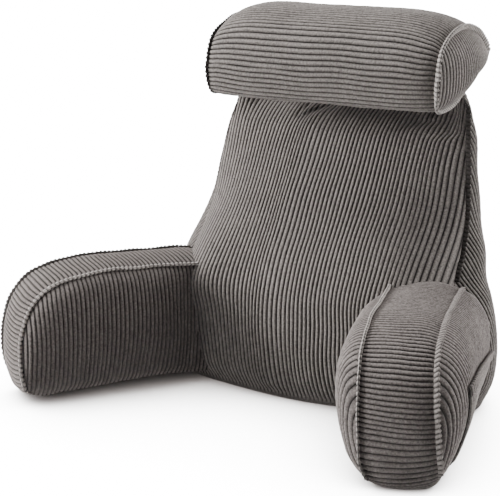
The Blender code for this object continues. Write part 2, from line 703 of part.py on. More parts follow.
def pocket_skin(form):
    """The patch pocket: a sheet that follows the swell of the arm's outer panel."""
    skin = Skin()
    inner, outer = [], []
    places = np.linspace(POCKET_BACK, POCKET_FRONT, POCKET_CELLS + 1)
    tops = np.linspace(*POCKET_TOP, POCKET_CELLS + 1)
    for u, top in zip(places, tops):
        inner_line, outer_line = [], []
        for share in np.linspace(POCKET_BOTTOM, top, POCKET_CELLS + 1):
            seat = form.side_panel(u, share, "outer", RELIEF)
            inner_line.append(seat + form.out * POCKET_LIFT)
            outer_line.append(seat + form.out * (POCKET_LIFT + POCKET_THICK))
        inner.append(inner_line)
        outer.append(outer_line)
    for i in range(POCKET_CELLS):
        for j in range(POCKET_CELLS):
            for sheet in (inner, outer):
                skin.face((sheet[i][j], sheet[i + 1][j], sheet[i + 1][j + 1], sheet[i][j + 1]))
        skin.face((inner[i][0], inner[i + 1][0], outer[i + 1][0], outer[i][0]))
        skin.face((inner[i][-1], inner[i + 1][-1], outer[i + 1][-1], outer[i][-1]))
        skin.face((inner[0][i], inner[0][i + 1], outer[0][i + 1], outer[0][i]))
        skin.face((inner[-1][i], inner[-1][i + 1], outer[-1][i + 1], outer[-1][i]))
    return skin


def corduroy(name):
    material = bpy.data.materials.new(name)
    material.use_nodes = True
    shader = material.node_tree.nodes["Principled BSDF"]
    shader.inputs["Base Color"].default_value = CORDUROY
    shader.inputs["Roughness"].default_value = CORDUROY_ROUGHNESS
    shader.inputs["Metallic"].default_value = 0.0
    return material


def press_against(piece, seat):
    """Takes away what the seat presses in, so that the piece lies on it."""
    cut = piece.modifiers.new("pressed by the backrest", "BOOLEAN")
    cut.operation = "DIFFERENCE"
    cut.solver = "EXACT"
    cut.object = seat


def clearance_of(piece, direction, collection):
    """A cutter: the same form, grown all round (NORMAL) or lifted (Z) by the clearance."""
    grown = bpy.data.objects.new(f"{piece.name}_clearance_{direction}", piece.data.copy())
    swell = grown.modifiers.new("clearance", "DISPLACE")
    swell.direction = direction
    swell.mid_level = 0.0
    swell.strength = CLEARANCE
    grown.hide_render = True
    grown.display_type = "WIRE"
    collection.objects.link(grown)
    return grown


def shift_to_origin(pieces):
    """How far the pieces have to move for the middle of their box's base to be the origin."""
    bpy.context.view_layer.update()
    graph = bpy.context.evaluated_depsgraph_get()
    corners = []
    for piece in pieces:
        mesh = piece.evaluated_get(graph).to_mesh()
        points = np.empty(len(mesh.vertices) * 3)
        mesh.vertices.foreach_get("co", points)
        corners.append(points.reshape(-1, 3))
    corners = np.vstack(corners)
    low, high = corners.min(axis=0), corners.max(axis=0)
    return -np.array(((low[0] + high[0]) / 2, (low[1] + high[1]) / 2, low[2]))


def main():
    clear_scene()
    pillow = bpy.data.collections.new("reading pillow")
    cutters = bpy.data.collections.new("cutters")
    for collection in (pillow, cutters):
        bpy.context.scene.collection.children.link(collection)

    back, roll = BackForm(), RollForm()
    arms = {name: ArmForm(*sizes) for name, *sizes in ARMS}
    backrest = back_skin(back).piece("backrest", corduroy("backrest corduroy"), pillow)
    beside, above = (clearance_of(backrest, direction, cutters) for direction in ("NORMAL", "Z"))
    pieces = [backrest]

    def add(name, skin, seat=None):
        piece = skin.piece(name, corduroy(name + " corduroy"), pillow)
        if seat:
            press_against(piece, seat)
        pieces.append(piece)

    for name, form in arms.items():
        add(name, arm_skin(form), seat=beside)
        for which in ("inner", "outer"):
            add(f"{name}_{which}_flange", arm_flange(form, back, which))
    add("back_left_flange", back_flange(back, -1))
    add("back_right_flange", back_flange(back, 1))
    add("neck_roll", roll_skin(roll), seat=above)
    add("roll_left_flange", roll_flange(roll, -1))
    add("roll_right_flange", roll_flange(roll, 1))
    add("pocket", pocket_skin(arms["arm_right"]))

    shift = shift_to_origin(pieces)
    for piece in pieces + [beside, above]:
        piece.location = shift


main()
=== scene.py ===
"""The looks of a reading pillow with arms: stuffed cushions in wide-wale corduroy, with flanged seams.

Every panel of cloth is laid out wale by wale, as it is cut: along the backrest, up the arms' sides, across
the arms' tops and along the neck roll. Sizes are in metres and degrees."""

import math

import bmesh
import bpy
import numpy as np
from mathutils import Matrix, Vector
from mathutils.bvhtree import BVHTree


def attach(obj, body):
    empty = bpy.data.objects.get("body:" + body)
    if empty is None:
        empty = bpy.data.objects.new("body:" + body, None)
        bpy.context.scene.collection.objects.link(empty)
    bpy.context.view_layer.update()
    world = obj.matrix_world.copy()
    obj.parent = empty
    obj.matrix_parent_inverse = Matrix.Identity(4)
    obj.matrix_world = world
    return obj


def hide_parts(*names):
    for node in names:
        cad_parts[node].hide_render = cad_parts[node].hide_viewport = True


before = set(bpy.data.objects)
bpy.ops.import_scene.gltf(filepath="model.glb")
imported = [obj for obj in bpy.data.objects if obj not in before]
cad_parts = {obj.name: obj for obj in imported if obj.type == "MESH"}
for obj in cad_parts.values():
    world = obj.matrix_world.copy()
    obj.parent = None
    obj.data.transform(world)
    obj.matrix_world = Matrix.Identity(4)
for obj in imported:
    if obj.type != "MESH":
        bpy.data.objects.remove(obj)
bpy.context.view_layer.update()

# The corduroy.
WALE = 0.007  # from furrow to furrow
WALE_STEPS = (0.0, 0.09, 0.26, 0.5, 0.74, 0.91)  # where a wale's points lie across it, from its furrow
WALE_DEPTH = 0.0028
WALE_ROUND = (1.75, 0.8)  # a higher first power makes a flatter crest, a lower second one a narrower furrow
FURROW_BELOW = 0.0010  # a furrow's floor lies this far below the solid's surface
PILE_FADE = 0.004  # the wales are at their full height this far from a seam
REAR_FADE = 0.003  # the same for all that lies on the back panel, and for the pocket's edges
WALE_DRIFT = 0.0011  # how far the wales stray sideways
DRIFT_FADE = 0.02  # nearer than this to a seam they keep to their line
DRIFT_LENGTH = {"front": 0.09, "gusset": 0.08, "side": 0.09, "roll": 0.12}
FRONT_DRIFT_STRETCH = 0.5  # below 1 the stray is longer across the front
SIDE_DRIFT_STRETCH = 0.6  # and up a side panel
WALE_TUFTS = 0.00028  # how far the pile's tufts stand out or lie down
LUMPS = 0.0013  # unevenness of the filling
LUMP_LENGTH = {"front": 0.11, "rear": 0.12, "arm": 0.10, "roll": 0.11}
LUMP_FADE = {"front": 0.05, "arm": 0.03}  # the lumps are at their fullest this far from a seam
STRAY_WAVES = 7  # waves that make up an unevenness, and their shortest and longest as shares of its length
STRAY_SPREAD = (0.7, 1.7)
SEAM_DIP = 0.0022  # cloth is drawn in by this much along a seam
SEAM_DIP_REACH = 0.006
SEAM_DIP_POWER = 1.4
EDGE_TUCK = 0.0007  # two panels' edges lie this far from their seam line
TIP_TUCK = -0.0016  # a side panel ends this far before the nose's foremost point
ROW_STEP = 0.0055  # points along a wale
FOOT_ROWS = (0.04, 0.004)  # up to this height the backrest's rows lie closer together, this far apart
PRESSED_ROWS = (0.40, 0.0028)  # and again from this height on
CROWN_ROW_STEP = 0.0035
EDGE_NEAR = 0.04  # share of a wale: no line of points lies nearer than this to a panel's edge
CROWDING = 0.55  # how much closer the points lie beside a seam
ROLL_CROWDING = 0.35
GUSSET_POINTS = 26
SIDE_POINTS = 44
ROLL_POINTS = 58
END_POINTS = 20
SIDE_MARGIN = 0.004  # a side panel's outermost points lie in from its seams by this share of its height
END_MARGIN = 0.006
ARC_POINTS = 160
WELD = 2e-6  # points that lie nearer together than this are one
HIDDEN_PILE = 0.5  # height of the pile where no one sees it
SEEDS = {
    # where the random draws of each panel's unevenness start
    "front lumps": 11,
    "front drift": 12,
    "front tufts": 13,
    "rear lumps": 21,
    "rear tufts": 22,
    "roll drift": 31,
    "roll lumps": 33,
    "roll tufts": 34,
    "arms": 100,
    "back flanges": 200,
    "roll flanges": 210,
}

# The pillow's own sizes, which the solids have too.
PLACE = np.array((0.05208, 0.03261, 0.0))  # from the middle of the backrest's seam line to the part's origin
GUSSET = 0.103
GUSSET_CROWN = 0.006
UNDERSIDE_CROWN = 0.031
UNDERSIDE_OUTER_POWER = 0.6
UNDERSIDE_FROM = 0.312
UNDERSIDE_FULL = 0.262
INNER_LEAN = 0.05
OUTER_LEAN = 0.097
ARM_HEIGHT = 0.22
SIDE_ROUND = 0.085
SWELL_SHARE = 0.8  # the side panels' wales lie evenly where the swell is this share of its fullest
SIDE_SKEW = {"inner": (0.8, 0.5), "outer": (1.1, 0.6)}  # how slowly a side panel swells from below and above
ROOT_FROM = {"inner": 0.0, "outer": -0.08}
ROOT_ROUND = 0.11
ROOT_SWELL = 0.15
TAIL_FROM = 0.0
TAIL_LENGTH = 0.13
TAIL_DRAW = 0.065
TOE_DROP_FROM = 0.098
TOE_DROP_FULL = 0.034
TOE_DROP_BACK = 0.06
TOE_DROP_REACH = 0.17
GATHER_FROM = 0.050
GATHER = {"inner": 0.012, "outer": -0.005}
FLANGE_TOE = 0.299
FLOOR_CLEAR = 0.002
BACK_FLANGE_FROM = 0.222
BACK_FLANGE_TO = 0.476
BACK_FLANGE_LEAN = {-1: (0.45, 0.9), 1: (0.96, 0.28)}  # outwards and backwards
BACK_FLANGE_HIDDEN = 0.01  # its lower end is sewn in behind the arm
ROLL_FLANGE_LEAN = {-1: (0.2, 0.1), 1: (0.3, 0.55)}  # off the roll's end, and how much more at the front
ROLL_FLANGE_DRAWN = 0.5  # share of its width that is turned in where the flange faces down
ROLL_FLANGE_DOWN = 0.6  # how steeply it faces down there
ROLL_HALF = 0.1905
ROLL_OFFSET = 0.0135
ROLL_CROWN = 0.024
ROLL_CROWN_POWERS = (6, 0.75)
ROLL_CROWN_MEAN = 0.55
ROLL_CROWN_TOP = 0.45
ROLL_END_CROWN = 0.026
FRONT_EDGE_ROUND = 0.2
REAR_SQUARENESS = 0.55
REAR_POWER = 0.9
SWELL_PEAK = 27 / 256
PROFILE_POINTS = 1200
NEAR_SEAM = 0.006
CORNER = 0.488  # the backrest's side seams turn into its top seam here
BASE_INSET = 0.93
BASE_TURNS = (30, 60, 90)  # the lower edge is rounded under in these steps, in degrees
FOOT_EDGE = 1.5  # a higher number lets the wales start lower
NOSE_EDGE = 1.2  # and nearer the nose
GUSSET_BOW = 0.0025  # an arm's wales bow forwards in the middle of the gusset
RIDGE_OUT = (1.0, 0.5)  # backwards and up: where the back panel turns over to the top seam
RIDGE_STEP = 0.1
RIDGE_ROUND = 0.004
RIDGE_FADE = 0.03
RIDGE_PLAIN = 0.3  # the wales fade out over this share of the turn

ARMS = (
    # name, side, splay in degrees, root x, root y, inner swell, outer swell, inner power of the underside,
    # inner and outer toe drop, inner and outer fold of the flange: above 0 towards the side panel
    ("arm_left", -1, 40.0, 0.1972, -0.0064, 0.032, 0.036, 6.0, (0.007, 0.014), (0.5, 0.9)),
    ("arm_right", 1, 12.5, 0.1972, 0.0029, 0.042, 0.042, 0.7, (0.021, 0.006), (-0.6, 1.2)),
)
ARM_PROFILE = (
    # place, distance from the root, height: the line that both seams of the gusset follow
    ("tail", -0.120, 0.100),
    ("tail slope", -0.060, 0.168),
    ("root", 0.000, 0.2095),
    ("top", 0.060, 0.2140),
    ("top middle", 0.120, 0.2155),
    ("top front", 0.197, 0.2150),
    ("shoulder", 0.240, 0.2080),
    ("bend", 0.271, 0.1960),
    ("nose top", 0.297, 0.1705),
    ("nose", 0.3105, 0.1380),
    ("nose front", 0.3160, 0.0980),
    ("nose low", 0.3130, 0.0560),
    ("toe", 0.3020, 0.0330),
    ("toe under", 0.2850, 0.0250),
    ("underside", 0.2500, 0.0265),
    ("underside middle", 0.0900, 0.0280),
    ("underside root", 0.0000, 0.0225),
    ("underside tail", -0.1200, 0.0180),
)
BACK_EDGE = (
    # height, half width at the side seam, set-back of the side seam
    (0.0120, 0.2620, 0.020),
    (0.0600, 0.2600, 0.006),
    (0.1300, 0.2520, 0.008),
    (0.1800, 0.2390, 0.024),
    (0.2100, 0.2300, 0.038),
    (0.2500, 0.2265, 0.071),
    (0.2900, 0.2235, 0.094),
    (0.3500, 0.2180, 0.110),
    (0.4000, 0.2110, 0.124),
    (0.4400, 0.2040, 0.139),
    (0.4700, 0.1980, 0.150),
    (0.4880, 0.1880, 0.157),
    (0.4980, 0.1650, 0.162),
    (0.5080, 0.1200, 0.166),
    (0.5150, 0.0600, 0.170),
    (0.5170, 0.0000, 0.171),
)
BACK_LINES = (
    # height, front middle, back middle, side swell, power of the front's crown
    (0.012, -0.0400, 0.225, 0.012, 1.7),
    (0.040, -0.0560, 0.243, 0.026, 2.4),
    (0.090, -0.0670, 0.254, 0.036, 3.4),
    (0.140, -0.0710, 0.258, 0.037, 5.5),
    (0.190, -0.0680, 0.256, 0.036, 9.0),
    (0.236, -0.0450, 0.250, 0.029, 6.5),
    (0.290, -0.0030, 0.242, 0.014, 3.2),
    (0.353, 0.0440, 0.232, 0.010, 2.4),
    (0.410, 0.0890, 0.222, 0.010, 2.2),
    (0.455, 0.1280, 0.210, 0.004, 2.2),
    (0.490, 0.1560, 0.196, 0.001, 2.1),
    (0.517, 0.1710, 0.173, 0.000, 2.0),
)
ROLL_PRESS = (
    # height, how far the roll presses the front back there
    (0.400, 0.000),
    (0.425, 0.003),
    (0.440, 0.015),
    (0.455, 0.034),
    (0.470, 0.036),
    (0.490, 0.018),
    (0.517, 0.000),
)
PRESS_HALF = 0.165  # half the width that the roll presses, and how far beside it the press fades out
PRESS_FADE = 0.035
PRESS_EDGE = 8  # a high power keeps the press and the swells off the side seams
FRONT_SWELLS = (
    # x, height, half width, half height, swell: where an arm presses the filling out beside it
    (-0.165, 0.205, 0.045, 0.050, 0.018),
    (-0.200, 0.100, 0.050, 0.075, 0.008),
)
ROLL_SECTION = (
    # place, set-back, height: the seam round each end of the roll
    ("front", -0.009, 0.530),
    ("upper front", 0.006, 0.566),
    ("top front", 0.043, 0.585),
    ("top", 0.100, 0.594),
    ("top back", 0.154, 0.586),
    ("upper back", 0.196, 0.568),
    ("back", 0.222, 0.541),
    ("lower back", 0.193, 0.524),
    ("under back", 0.150, 0.511),
    ("under", 0.100, 0.490),
    ("under front", 0.045, 0.480),
    ("lower front", 0.000, 0.487),
)

# Folds under the roll.
FRONT_FOLDS = (
    # x, height, turn in degrees from upright, half length, half width, depth
    (-0.050, 0.443, 66, 0.024, 0.0042, 0.0115),
    (-0.026, 0.447, 40, 0.015, 0.0040, 0.0060),
    (-0.078, 0.444, 34, 0.015, 0.0040, 0.0050),
    (0.131, 0.436, 84, 0.028, 0.0050, 0.0120),
    (0.168, 0.446, 70, 0.016, 0.0045, 0.0026),
    (0.182, 0.422, 70, 0.020, 0.0045, 0.0022),
    (0.196, 0.402, 40, 0.018, 0.0045, 0.0014),
    (-0.186, 0.440, -30, 0.018, 0.0045, 0.0016),
)
FRONT_JOGS = (
    # x, height, half width, half height, sideways shift: the wales step aside over a fold
    (0.176, 0.422, 0.026, 0.0060, 0.0055),
    (0.128, 0.436, 0.024, 0.0045, 0.0030),
    (-0.045, 0.447, 0.022, 0.0060, 0.0050),
)
JOGS_END = 0.475  # no wale steps aside from this height on
JOGS_FADE = 0.02

# Trims.
FLANGE_SLANT = 0.35  # share of a wale by which a bead leans from the flange's foot to its edge
FLANGE_TAPER = 0.018  # its open ends are cut to a point over this length
FLANGE_THIN = 0.22  # share of the thickness that is left between two beads
FLANGE_NOTCH = 0.40  # share of the width by which the edge dips between two beads
FLANGE_SINK = 0.0015  # its foot is sewn in between the panels
FLANGE_SECTION = (
    # share of the width, share of the thickness
    (0.0, 0.50),
    (0.35, 0.80),
    (0.75, 1.00),
    (0.95, 0.80),
    (1.0, 0.40),
)
FLANGE_GROOVE = 0.88  # share of the width: how deep the line between its two layers of cloth lies
FLANGE_STRAYS = (
    # how much, over which length: its lean to and fro, its width, its line
    (0.16, 0.07),
    (0.06, 0.05),
    (0.0007, 0.06),
)
FLANGE_END = 0.3  # share of the thickness that is left at an open end
FLANGE_SEARCH = 0.001
BEAD_PILE = 0.1  # height of the pile between two beads, which paints shade there
# the groove between the flange's two layers keeps this share of it: more painted shade there
GROOVE_PILE = 0.3
POCKET_BACK = 0.025
POCKET_FRONT = 0.267
POCKET_BOTTOM = 0.08
POCKET_TOP = (0.525, 0.735)
POCKET_ROW_STEP = 0.035
POCKET_THICK = 0.0016
POCKET_LIFT = 0.0004  # it lies this far off the wales beneath it
POCKET_WALES = 0.9
POCKET_HEM = 0.016
POCKET_HEM_FADE = 0.004
POCKET_HEM_LIFT = 0.0015  # the hem stands off by this much more, and is this much thicker
POCKET_HEM_THICK = 0.0012
POCKET_INSIDE = 0.3  # height of the pile on its wrong side
ROOT_SINK = 0.004  # an arm's end lies this deep in the backrest's cover
ROOT_NEAR = -0.16  # only what lies behind this can be in the backrest
ROLL_REST = 0.0006
ROLL_LOW = 0.53  # only what lies below this can be in the backrest
ROLL_DEEPEST = 0.06
ROLL_ROUND = 0.1
ROLL_END_REACH = 0.06  # from an end panel's middle to its seam
ROLL_END_INSET = 0.0008
SMALLEST = 1e-12  # keeps a division from failing

# The camera stands where the photograph was taken from.
CAMERA_PLACE = (1.0026, -2.1606, 0.8965)
CAMERA_AZIMUTH = 27.20
CAMERA_PITCH = 15.27
CAMERA_ROLL = -0.065
CAMERA_LENS = 112.06
CAMERA_SENSOR = 36.0


def curve(knots, values, at):
    """A smooth curve through a table's points (cubic, with slopes taken from each point's neighbours)."""
    knots = np.asarray(knots, float)
    values = np.asarray(values, float)
    at = np.clip(np.asarray(at, float), knots[0], knots[-1])
    steps = np.diff(knots)
    rises = np.diff(values) / steps
    slopes = np.empty_like(values)
    slopes[0], slopes[-1] = rises[0], rises[-1]
    slopes[1:-1] = (rises[:-1] * steps[1:] + rises[1:] * steps[:-1]) / (steps[1:] + steps[:-1])
    cell = np.clip(np.searchsorted(knots, at, side="right") - 1, 0, len(steps) - 1)
    part = (at - knots[cell]) / steps[cell]
    low, high = values[cell], values[cell + 1]
    slope_low, slope_high = slopes[cell] * steps[cell], slopes[cell + 1] * steps[cell]
    return (
        low * (1 + 2 * part) * (1 - part) ** 2
        + slope_low * part * (1 - part) ** 2
        + high * part**2 * (3 - 2 * part)
        + slope_high * part**2 * (part - 1)
    )


def ease(value):
    """0 below 0, 1 above 1, and a smooth step between."""
    value = np.clip(value, 0.0, 1.0)
    return value * value * (3 - 2 * value)


def rounded(share):
    """A quarter circle: 0 at 0, 1 from 1 on."""
    return np.sqrt(np.maximum(0.0, 1 - (1 - np.clip(share, 0.0, 1.0)) ** 2))


def hump(share, near_power, far_power):
    """0 at both ends and 1 at its highest, which lies towards the end with the smaller power."""
    peak = near_power / (near_power + far_power)
    height = peak**near_power * (1 - peak) ** far_power
    share = np.clip(share, 0.0, 1.0)
    return share**near_power * (1 - share) ** far_power / height


def unit(vectors):
    return vectors / np.maximum(np.linalg.norm(vectors, axis=-1, keepdims=True), SMALLEST)


def run_of(points):
    """How far along a row of points each of them is."""
    return np.concatenate(([0.0], np.cumsum(np.linalg.norm(np.diff(points, axis=0), axis=1))))


def interpolated(at, run, line):
    """The places along a line of points at these distances."""
    return np.stack([np.interp(at, run, line[:, axis]) for axis in range(3)], axis=-1)


def grid_of(rows, columns):
    return np.meshgrid(rows, columns, indexing="ij")


def stray(first, second, length, seed):
    """A soft unevenness from -1 to 1, whose bumps are about this long."""
    draw = np.random.default_rng(seed)
    total = 0.0
    for _ in range(STRAY_WAVES):
        turn = draw.uniform(0, math.pi)
        size = length * draw.uniform(*STRAY_SPREAD)
        start = draw.uniform(0, 2 * math.pi)
        way = first * math.cos(turn) + second * math.sin(turn)
        total = total + np.sin(2 * math.pi * way / size + start)
    return total / (STRAY_WAVES / 2)


def wale_rise(places):
    """Height of the pile at places across the wales, from 0 in a furrow to 1 on a crest."""
    phase = np.mod(np.asarray(places) / WALE, 1.0)
    crest, furrow = WALE_ROUND
    return np.maximum(0.0, 1 - np.abs(2 * phase - 1) ** crest) ** furrow


def tufted(lift, seed):
    """The same heights with each tuft of the pile a little higher or lower."""
    return lift + WALE_TUFTS * np.random.default_rng(seed).uniform(-1.0, 1.0, lift.shape)


def wale_lines(low, high):
    """Places of the points across the wales, from one edge of a panel to the other."""
    first, last = math.floor(low / WALE), math.ceil(high / WALE)
    places = (np.arange(first, last)[:, None] + np.array(WALE_STEPS)).ravel() * WALE
    near = WALE * EDGE_NEAR
    places = places[(places > low + near) & (places < high - near)]
    return np.concatenate(([low], places, [high]))


def even(low, high, step):
    return np.linspace(low, high, max(2, math.ceil(abs(high - low) / step) + 1))


def edge_dense(count, share=CROWDING):
    """Shares from 0 to 1 that lie closer together at both ends."""
    line = np.linspace(0, 1, count)
    return (1 - share) * line + share * (0.5 - 0.5 * np.cos(math.pi * line))


def pile(places, from_seam):
    """What the pile adds to a surface: wales that stand over it, drawn in where a seam runs."""
    full = WALE_DEPTH * wale_rise(places) - FURROW_BELOW
    dip = SEAM_DIP * np.exp(-((np.maximum(from_seam, 0.0) / SEAM_DIP_REACH) ** SEAM_DIP_POWER))
    return (full - dip) * ease(from_seam / PILE_FADE)


class Cloth:
    """The faces of one cover, and how high the pile stands at each point."""

    def __init__(self):
        self.points = np.empty((0, 3))
        self.rise = np.empty(0)
        self.triangles = []

    def add(self, points, rise):
        start = len(self.points)
        self.points = np.vstack((self.points, np.asarray(points, float).reshape(-1, 3)))
        self.rise = np.concatenate((self.rise, np.broadcast_to(rise, points.shape[:-1]).ravel()))
        return start + np.arange(points[..., 0].size).reshape(points.shape[:-1])

    def panel(self, points, rise):
        """A panel of cloth: a grid of points. It gives back the grid's numbers."""
        grid = self.add(points, rise)
        self.fill(grid[:-1, :-1], grid[1:, :-1], grid[1:, 1:], grid[:-1, 1:])
        return grid

    def fill(self, a, b, c, d):
        """Makes two triangles between each four points."""
        a, b, c, d = a.ravel(), b.ravel(), c.ravel(), d.ravel()
        self.triangles += [np.stack((a, b, c), axis=1), np.stack((a, c, d), axis=1)]

    def tube(self, grid):
        """Joins a panel's last column to its first."""
        self.fill(grid[:-1, -1], grid[1:, -1], grid[1:, 0], grid[:-1, 0])

    def band(self, first, second):
        """Joins two closed rings that have as many numbered points as each other."""
        self.fill(first, second, np.roll(second, -1), np.roll(first, -1))

    def sew(self, first, second):
        """Joins two rows of numbered points that run the same way."""
        first_run, second_run = run_of(self.points[first]), run_of(self.points[second])
        first_run, second_run = first_run / first_run[-1], second_run / second_run[-1]
        made = []
        i, j = 0, 0
        while i < len(first) - 1 or j < len(second) - 1:
            if j == len(second) - 1 or (i < len(first) - 1 and first_run[i + 1] <= second_run[j + 1]):
                made.append((first[i], first[i + 1], second[j]))
                i += 1
            else:
                made.append((first[i], second[j + 1], second[j]))
                j += 1
        self.triangles.append(np.array(made))

    def cap(self, ring):
        """Closes a ring of numbered points with a fan round its middle."""
        middle = self.add(self.points[ring].mean(axis=0)[None, :], HIDDEN_PILE)[0]
        after = np.roll(ring, -1)
        self.triangles.append(np.stack((ring, after, np.full(len(ring), middle)), axis=1))

    def welded(self):
        """The points and triangles, with points that fall together made one."""
        keys = np.round(self.points / WELD).astype(np.int64)
        _, first, index = np.unique(keys, axis=0, return_index=True, return_inverse=True)
        faces = index.reshape(-1)[np.vstack(self.triangles)]
        whole = (faces[:, 0] != faces[:, 1]) & (faces[:, 1] != faces[:, 2]) & (faces[:, 0] != faces[:, 2])
        return self.points[first], self.rise[first], faces[whole]

    def piece(self, name, material):
        points, rise, faces = self.welded()
        return mesh_piece(name, points + PLACE, rise, faces, material)


def add_object(name, data):
    made = bpy.data.objects.new(name, data)
    bpy.context.scene.collection.objects.link(made)
    return made


def mesh_piece(name, points, rise, faces, material):
    mesh = bpy.data.meshes.new(name)
    mesh.from_pydata(points.tolist(), [], faces.tolist())
    mesh.validate()
    # pile_height also sets the painted shade: the lower it is, the darker the cloth's colour
    pile_height = mesh.attributes.new("pile_height", "FLOAT", "POINT")
    pile_height.data.foreach_set("value", rise.astype(np.float32))
    turn_outwards(mesh)
    mesh.shade_smooth()
    mesh.materials.append(material)
    return add_object(name, mesh)


def turn_outwards(mesh):
    """Gives all faces of a closed mesh the same side out."""
    work = bmesh.new()
    work.from_mesh(mesh)
    bmesh.ops.recalc_face_normals(work, faces=work.faces)
    if work.calc_volume(signed=True) < 0:
        bmesh.ops.reverse_faces(work, faces=work.faces)
    work.to_mesh(mesh)
    work.free()


class ArmForm:
    """One arm. Its own directions are along (from the root to the nose), out (away from the seat) and up."""

    def __init__(self, side, splay, root_x, root_y, inner_swell, outer_swell, under_power, drops, folds):
        angle = math.radians(splay)
        self.root = np.array((side * root_x, root_y, 0.0))
        self.along = np.array((side * math.sin(angle), -math.cos(angle), 0.0))
        self.out = np.array((side * math.cos(angle), math.sin(angle), 0.0))
        self.swell = {"inner": inner_swell, "outer": outer_swell}
        self.under_power = under_power
        self.drop = dict(zip(("inner", "outer"), drops))
        self.fold = dict(zip(("inner", "outer"), folds))
        places = np.array([row[1:] for row in ARM_PROFILE])
        knots = run_of(places)
        fine = np.linspace(0, knots[-1], PROFILE_POINTS)
        self.u, self.z = curve(knots, places[:, 0], fine), curve(knots, places[:, 1], fine)
        self.run = run_of(np.stack((self.u, self.z), axis=1))
        slope_u, slope_z = np.gradient(self.u, self.run), np.gradient(self.z, self.run)
        length = np.hypot(slope_u, slope_z)
        self.normal_u, self.normal_z = -slope_z / length, slope_u / length
        self.tip = int(np.argmax(self.u))
        self.tip_u = self.u[self.tip]

    def at(self, run, values):
        return np.interp(run, self.run, values)

    def run_at(self, u, top=True):
        if top:
            return np.interp(u, self.u[: self.tip + 1], self.run[: self.tip + 1])
        return np.interp(u, self.u[self.tip :][::-1], self.run[self.tip :][::-1])

    def edge(self, u, z, which):
        drop = ARM_HEIGHT - z
        gather = GATHER[which] * ease((GATHER_FROM - z) / GATHER_FROM)
        if which == "inner":
            return -GUSSET / 2 + INNER_LEAN * drop + gather
        return GUSSET / 2 + OUTER_LEAN * drop + gather - TAIL_DRAW * ease((TAIL_FROM - u) / TAIL_LENGTH)

    def sunk(self, u, z, which):
        """The height of a seam: the profile's, less what the toe drops."""
        low = ease((TOE_DROP_FROM - z) / (TOE_DROP_FROM - TOE_DROP_FULL))
        return z - self.drop[which] * low * ease((u - TOE_DROP_BACK) / TOE_DROP_REACH)

    def span(self, u, which):
        """The heights of a side panel's bottom and top seams, this far from the root."""
        low = self.sunk(u, np.interp(self.run_at(u, top=False), self.run, self.z), which)
        high = np.interp(self.run_at(u), self.run, self.z)
        return low, high

    def world(self, u, v, z):
        u, v, z = np.broadcast_arrays(u, v, z)
        flat = self.root + u[..., None] * self.along + v[..., None] * self.out
        return flat + z[..., None] * np.array((0.0, 0.0, 1.0))

    def seam(self, run, which):
        u, z = self.at(run, self.u), self.at(run, self.z)
        z = self.sunk(u, z, which)
        return self.world(u, self.edge(u, z, which), z)

    def gusset(self, run, across, rise):
        u, z = self.at(run, self.u), self.at(run, self.z)
        normal_u, normal_z = self.at(run, self.normal_u), self.at(run, self.normal_z)
        under = ease((UNDERSIDE_FROM - u) / (UNDERSIDE_FROM - UNDERSIDE_FULL)) * (normal_z < 0)
        low_inner, low_outer = self.sunk(u, z, "inner"), self.sunk(u, z, "outer")
        v = (1 - across) * self.edge(u, low_inner, "inner") + across * self.edge(u, low_outer, "outer")
        sunk = (1 - across) * low_inner + across * low_outer
        lift = GUSSET_CROWN * 4 * across * (1 - across) * (1 - under) + rise
        swell = UNDERSIDE_CROWN - (z - sunk)
        lift = lift + swell * hump(across, self.under_power, UNDERSIDE_OUTER_POWER) * under
        return self.world(u + normal_u * lift, v, np.maximum(sunk + normal_z * lift, 0.0))

    def side_panel(self, u, share, which, rise):
        low, high = self.span(u, which)
        z = low + share * (high - low)
        from_root = ROOT_SWELL + (1 - ROOT_SWELL) * ease((u - ROOT_FROM[which]) / ROOT_ROUND)
        rounding = np.minimum(rounded((self.tip_u - u) / SIDE_ROUND), from_root)
        swell = self.swell[which] * rounding * hump(share, *SIDE_SKEW[which])
        outward = -1 if which == "inner" else 1
        return self.world(u, self.edge(u, z, which) + outward * (swell + rise), z)

    def cloth_length(self, which):
        """How long the cloth of a side panel is up to each distance from the root, halfway up its swell."""
        part = np.linspace(0.0, 1.0, PROFILE_POINTS)
        u = self.u[0] + (self.tip_u - self.u[0]) * (1 - (1 - part) ** 2)
        v = SWELL_SHARE * self.swell[which] * rounded((self.tip_u - u) / SIDE_ROUND)
        length = run_of(np.stack((u, v), axis=1))
        return u, length - length[-1]

    def lean(self, run, which):
        """The direction in which a flange stands: midway off the gusset and off the side panel."""
        seam = self.seam(run, which)
        near = NEAR_SEAM / GUSSET
        on_gusset = self.gusset(run, near if which == "inner" else 1 - near, 0.0)
        u = self.at(run, self.u) - self.at(run, self.normal_u) * NEAR_SEAM
        z = seam[..., 2] - self.at(run, self.normal_z) * NEAR_SEAM
        low, high = self.span(u, which)
        on_side = self.side_panel(u, np.clip((z - low) / (high - low), 0.0, 1.0), which, 0.0)
        to_side = unit(on_side - seam)
        return unit(self.fold[which] * to_side - unit(unit(on_gusset - seam) + to_side))


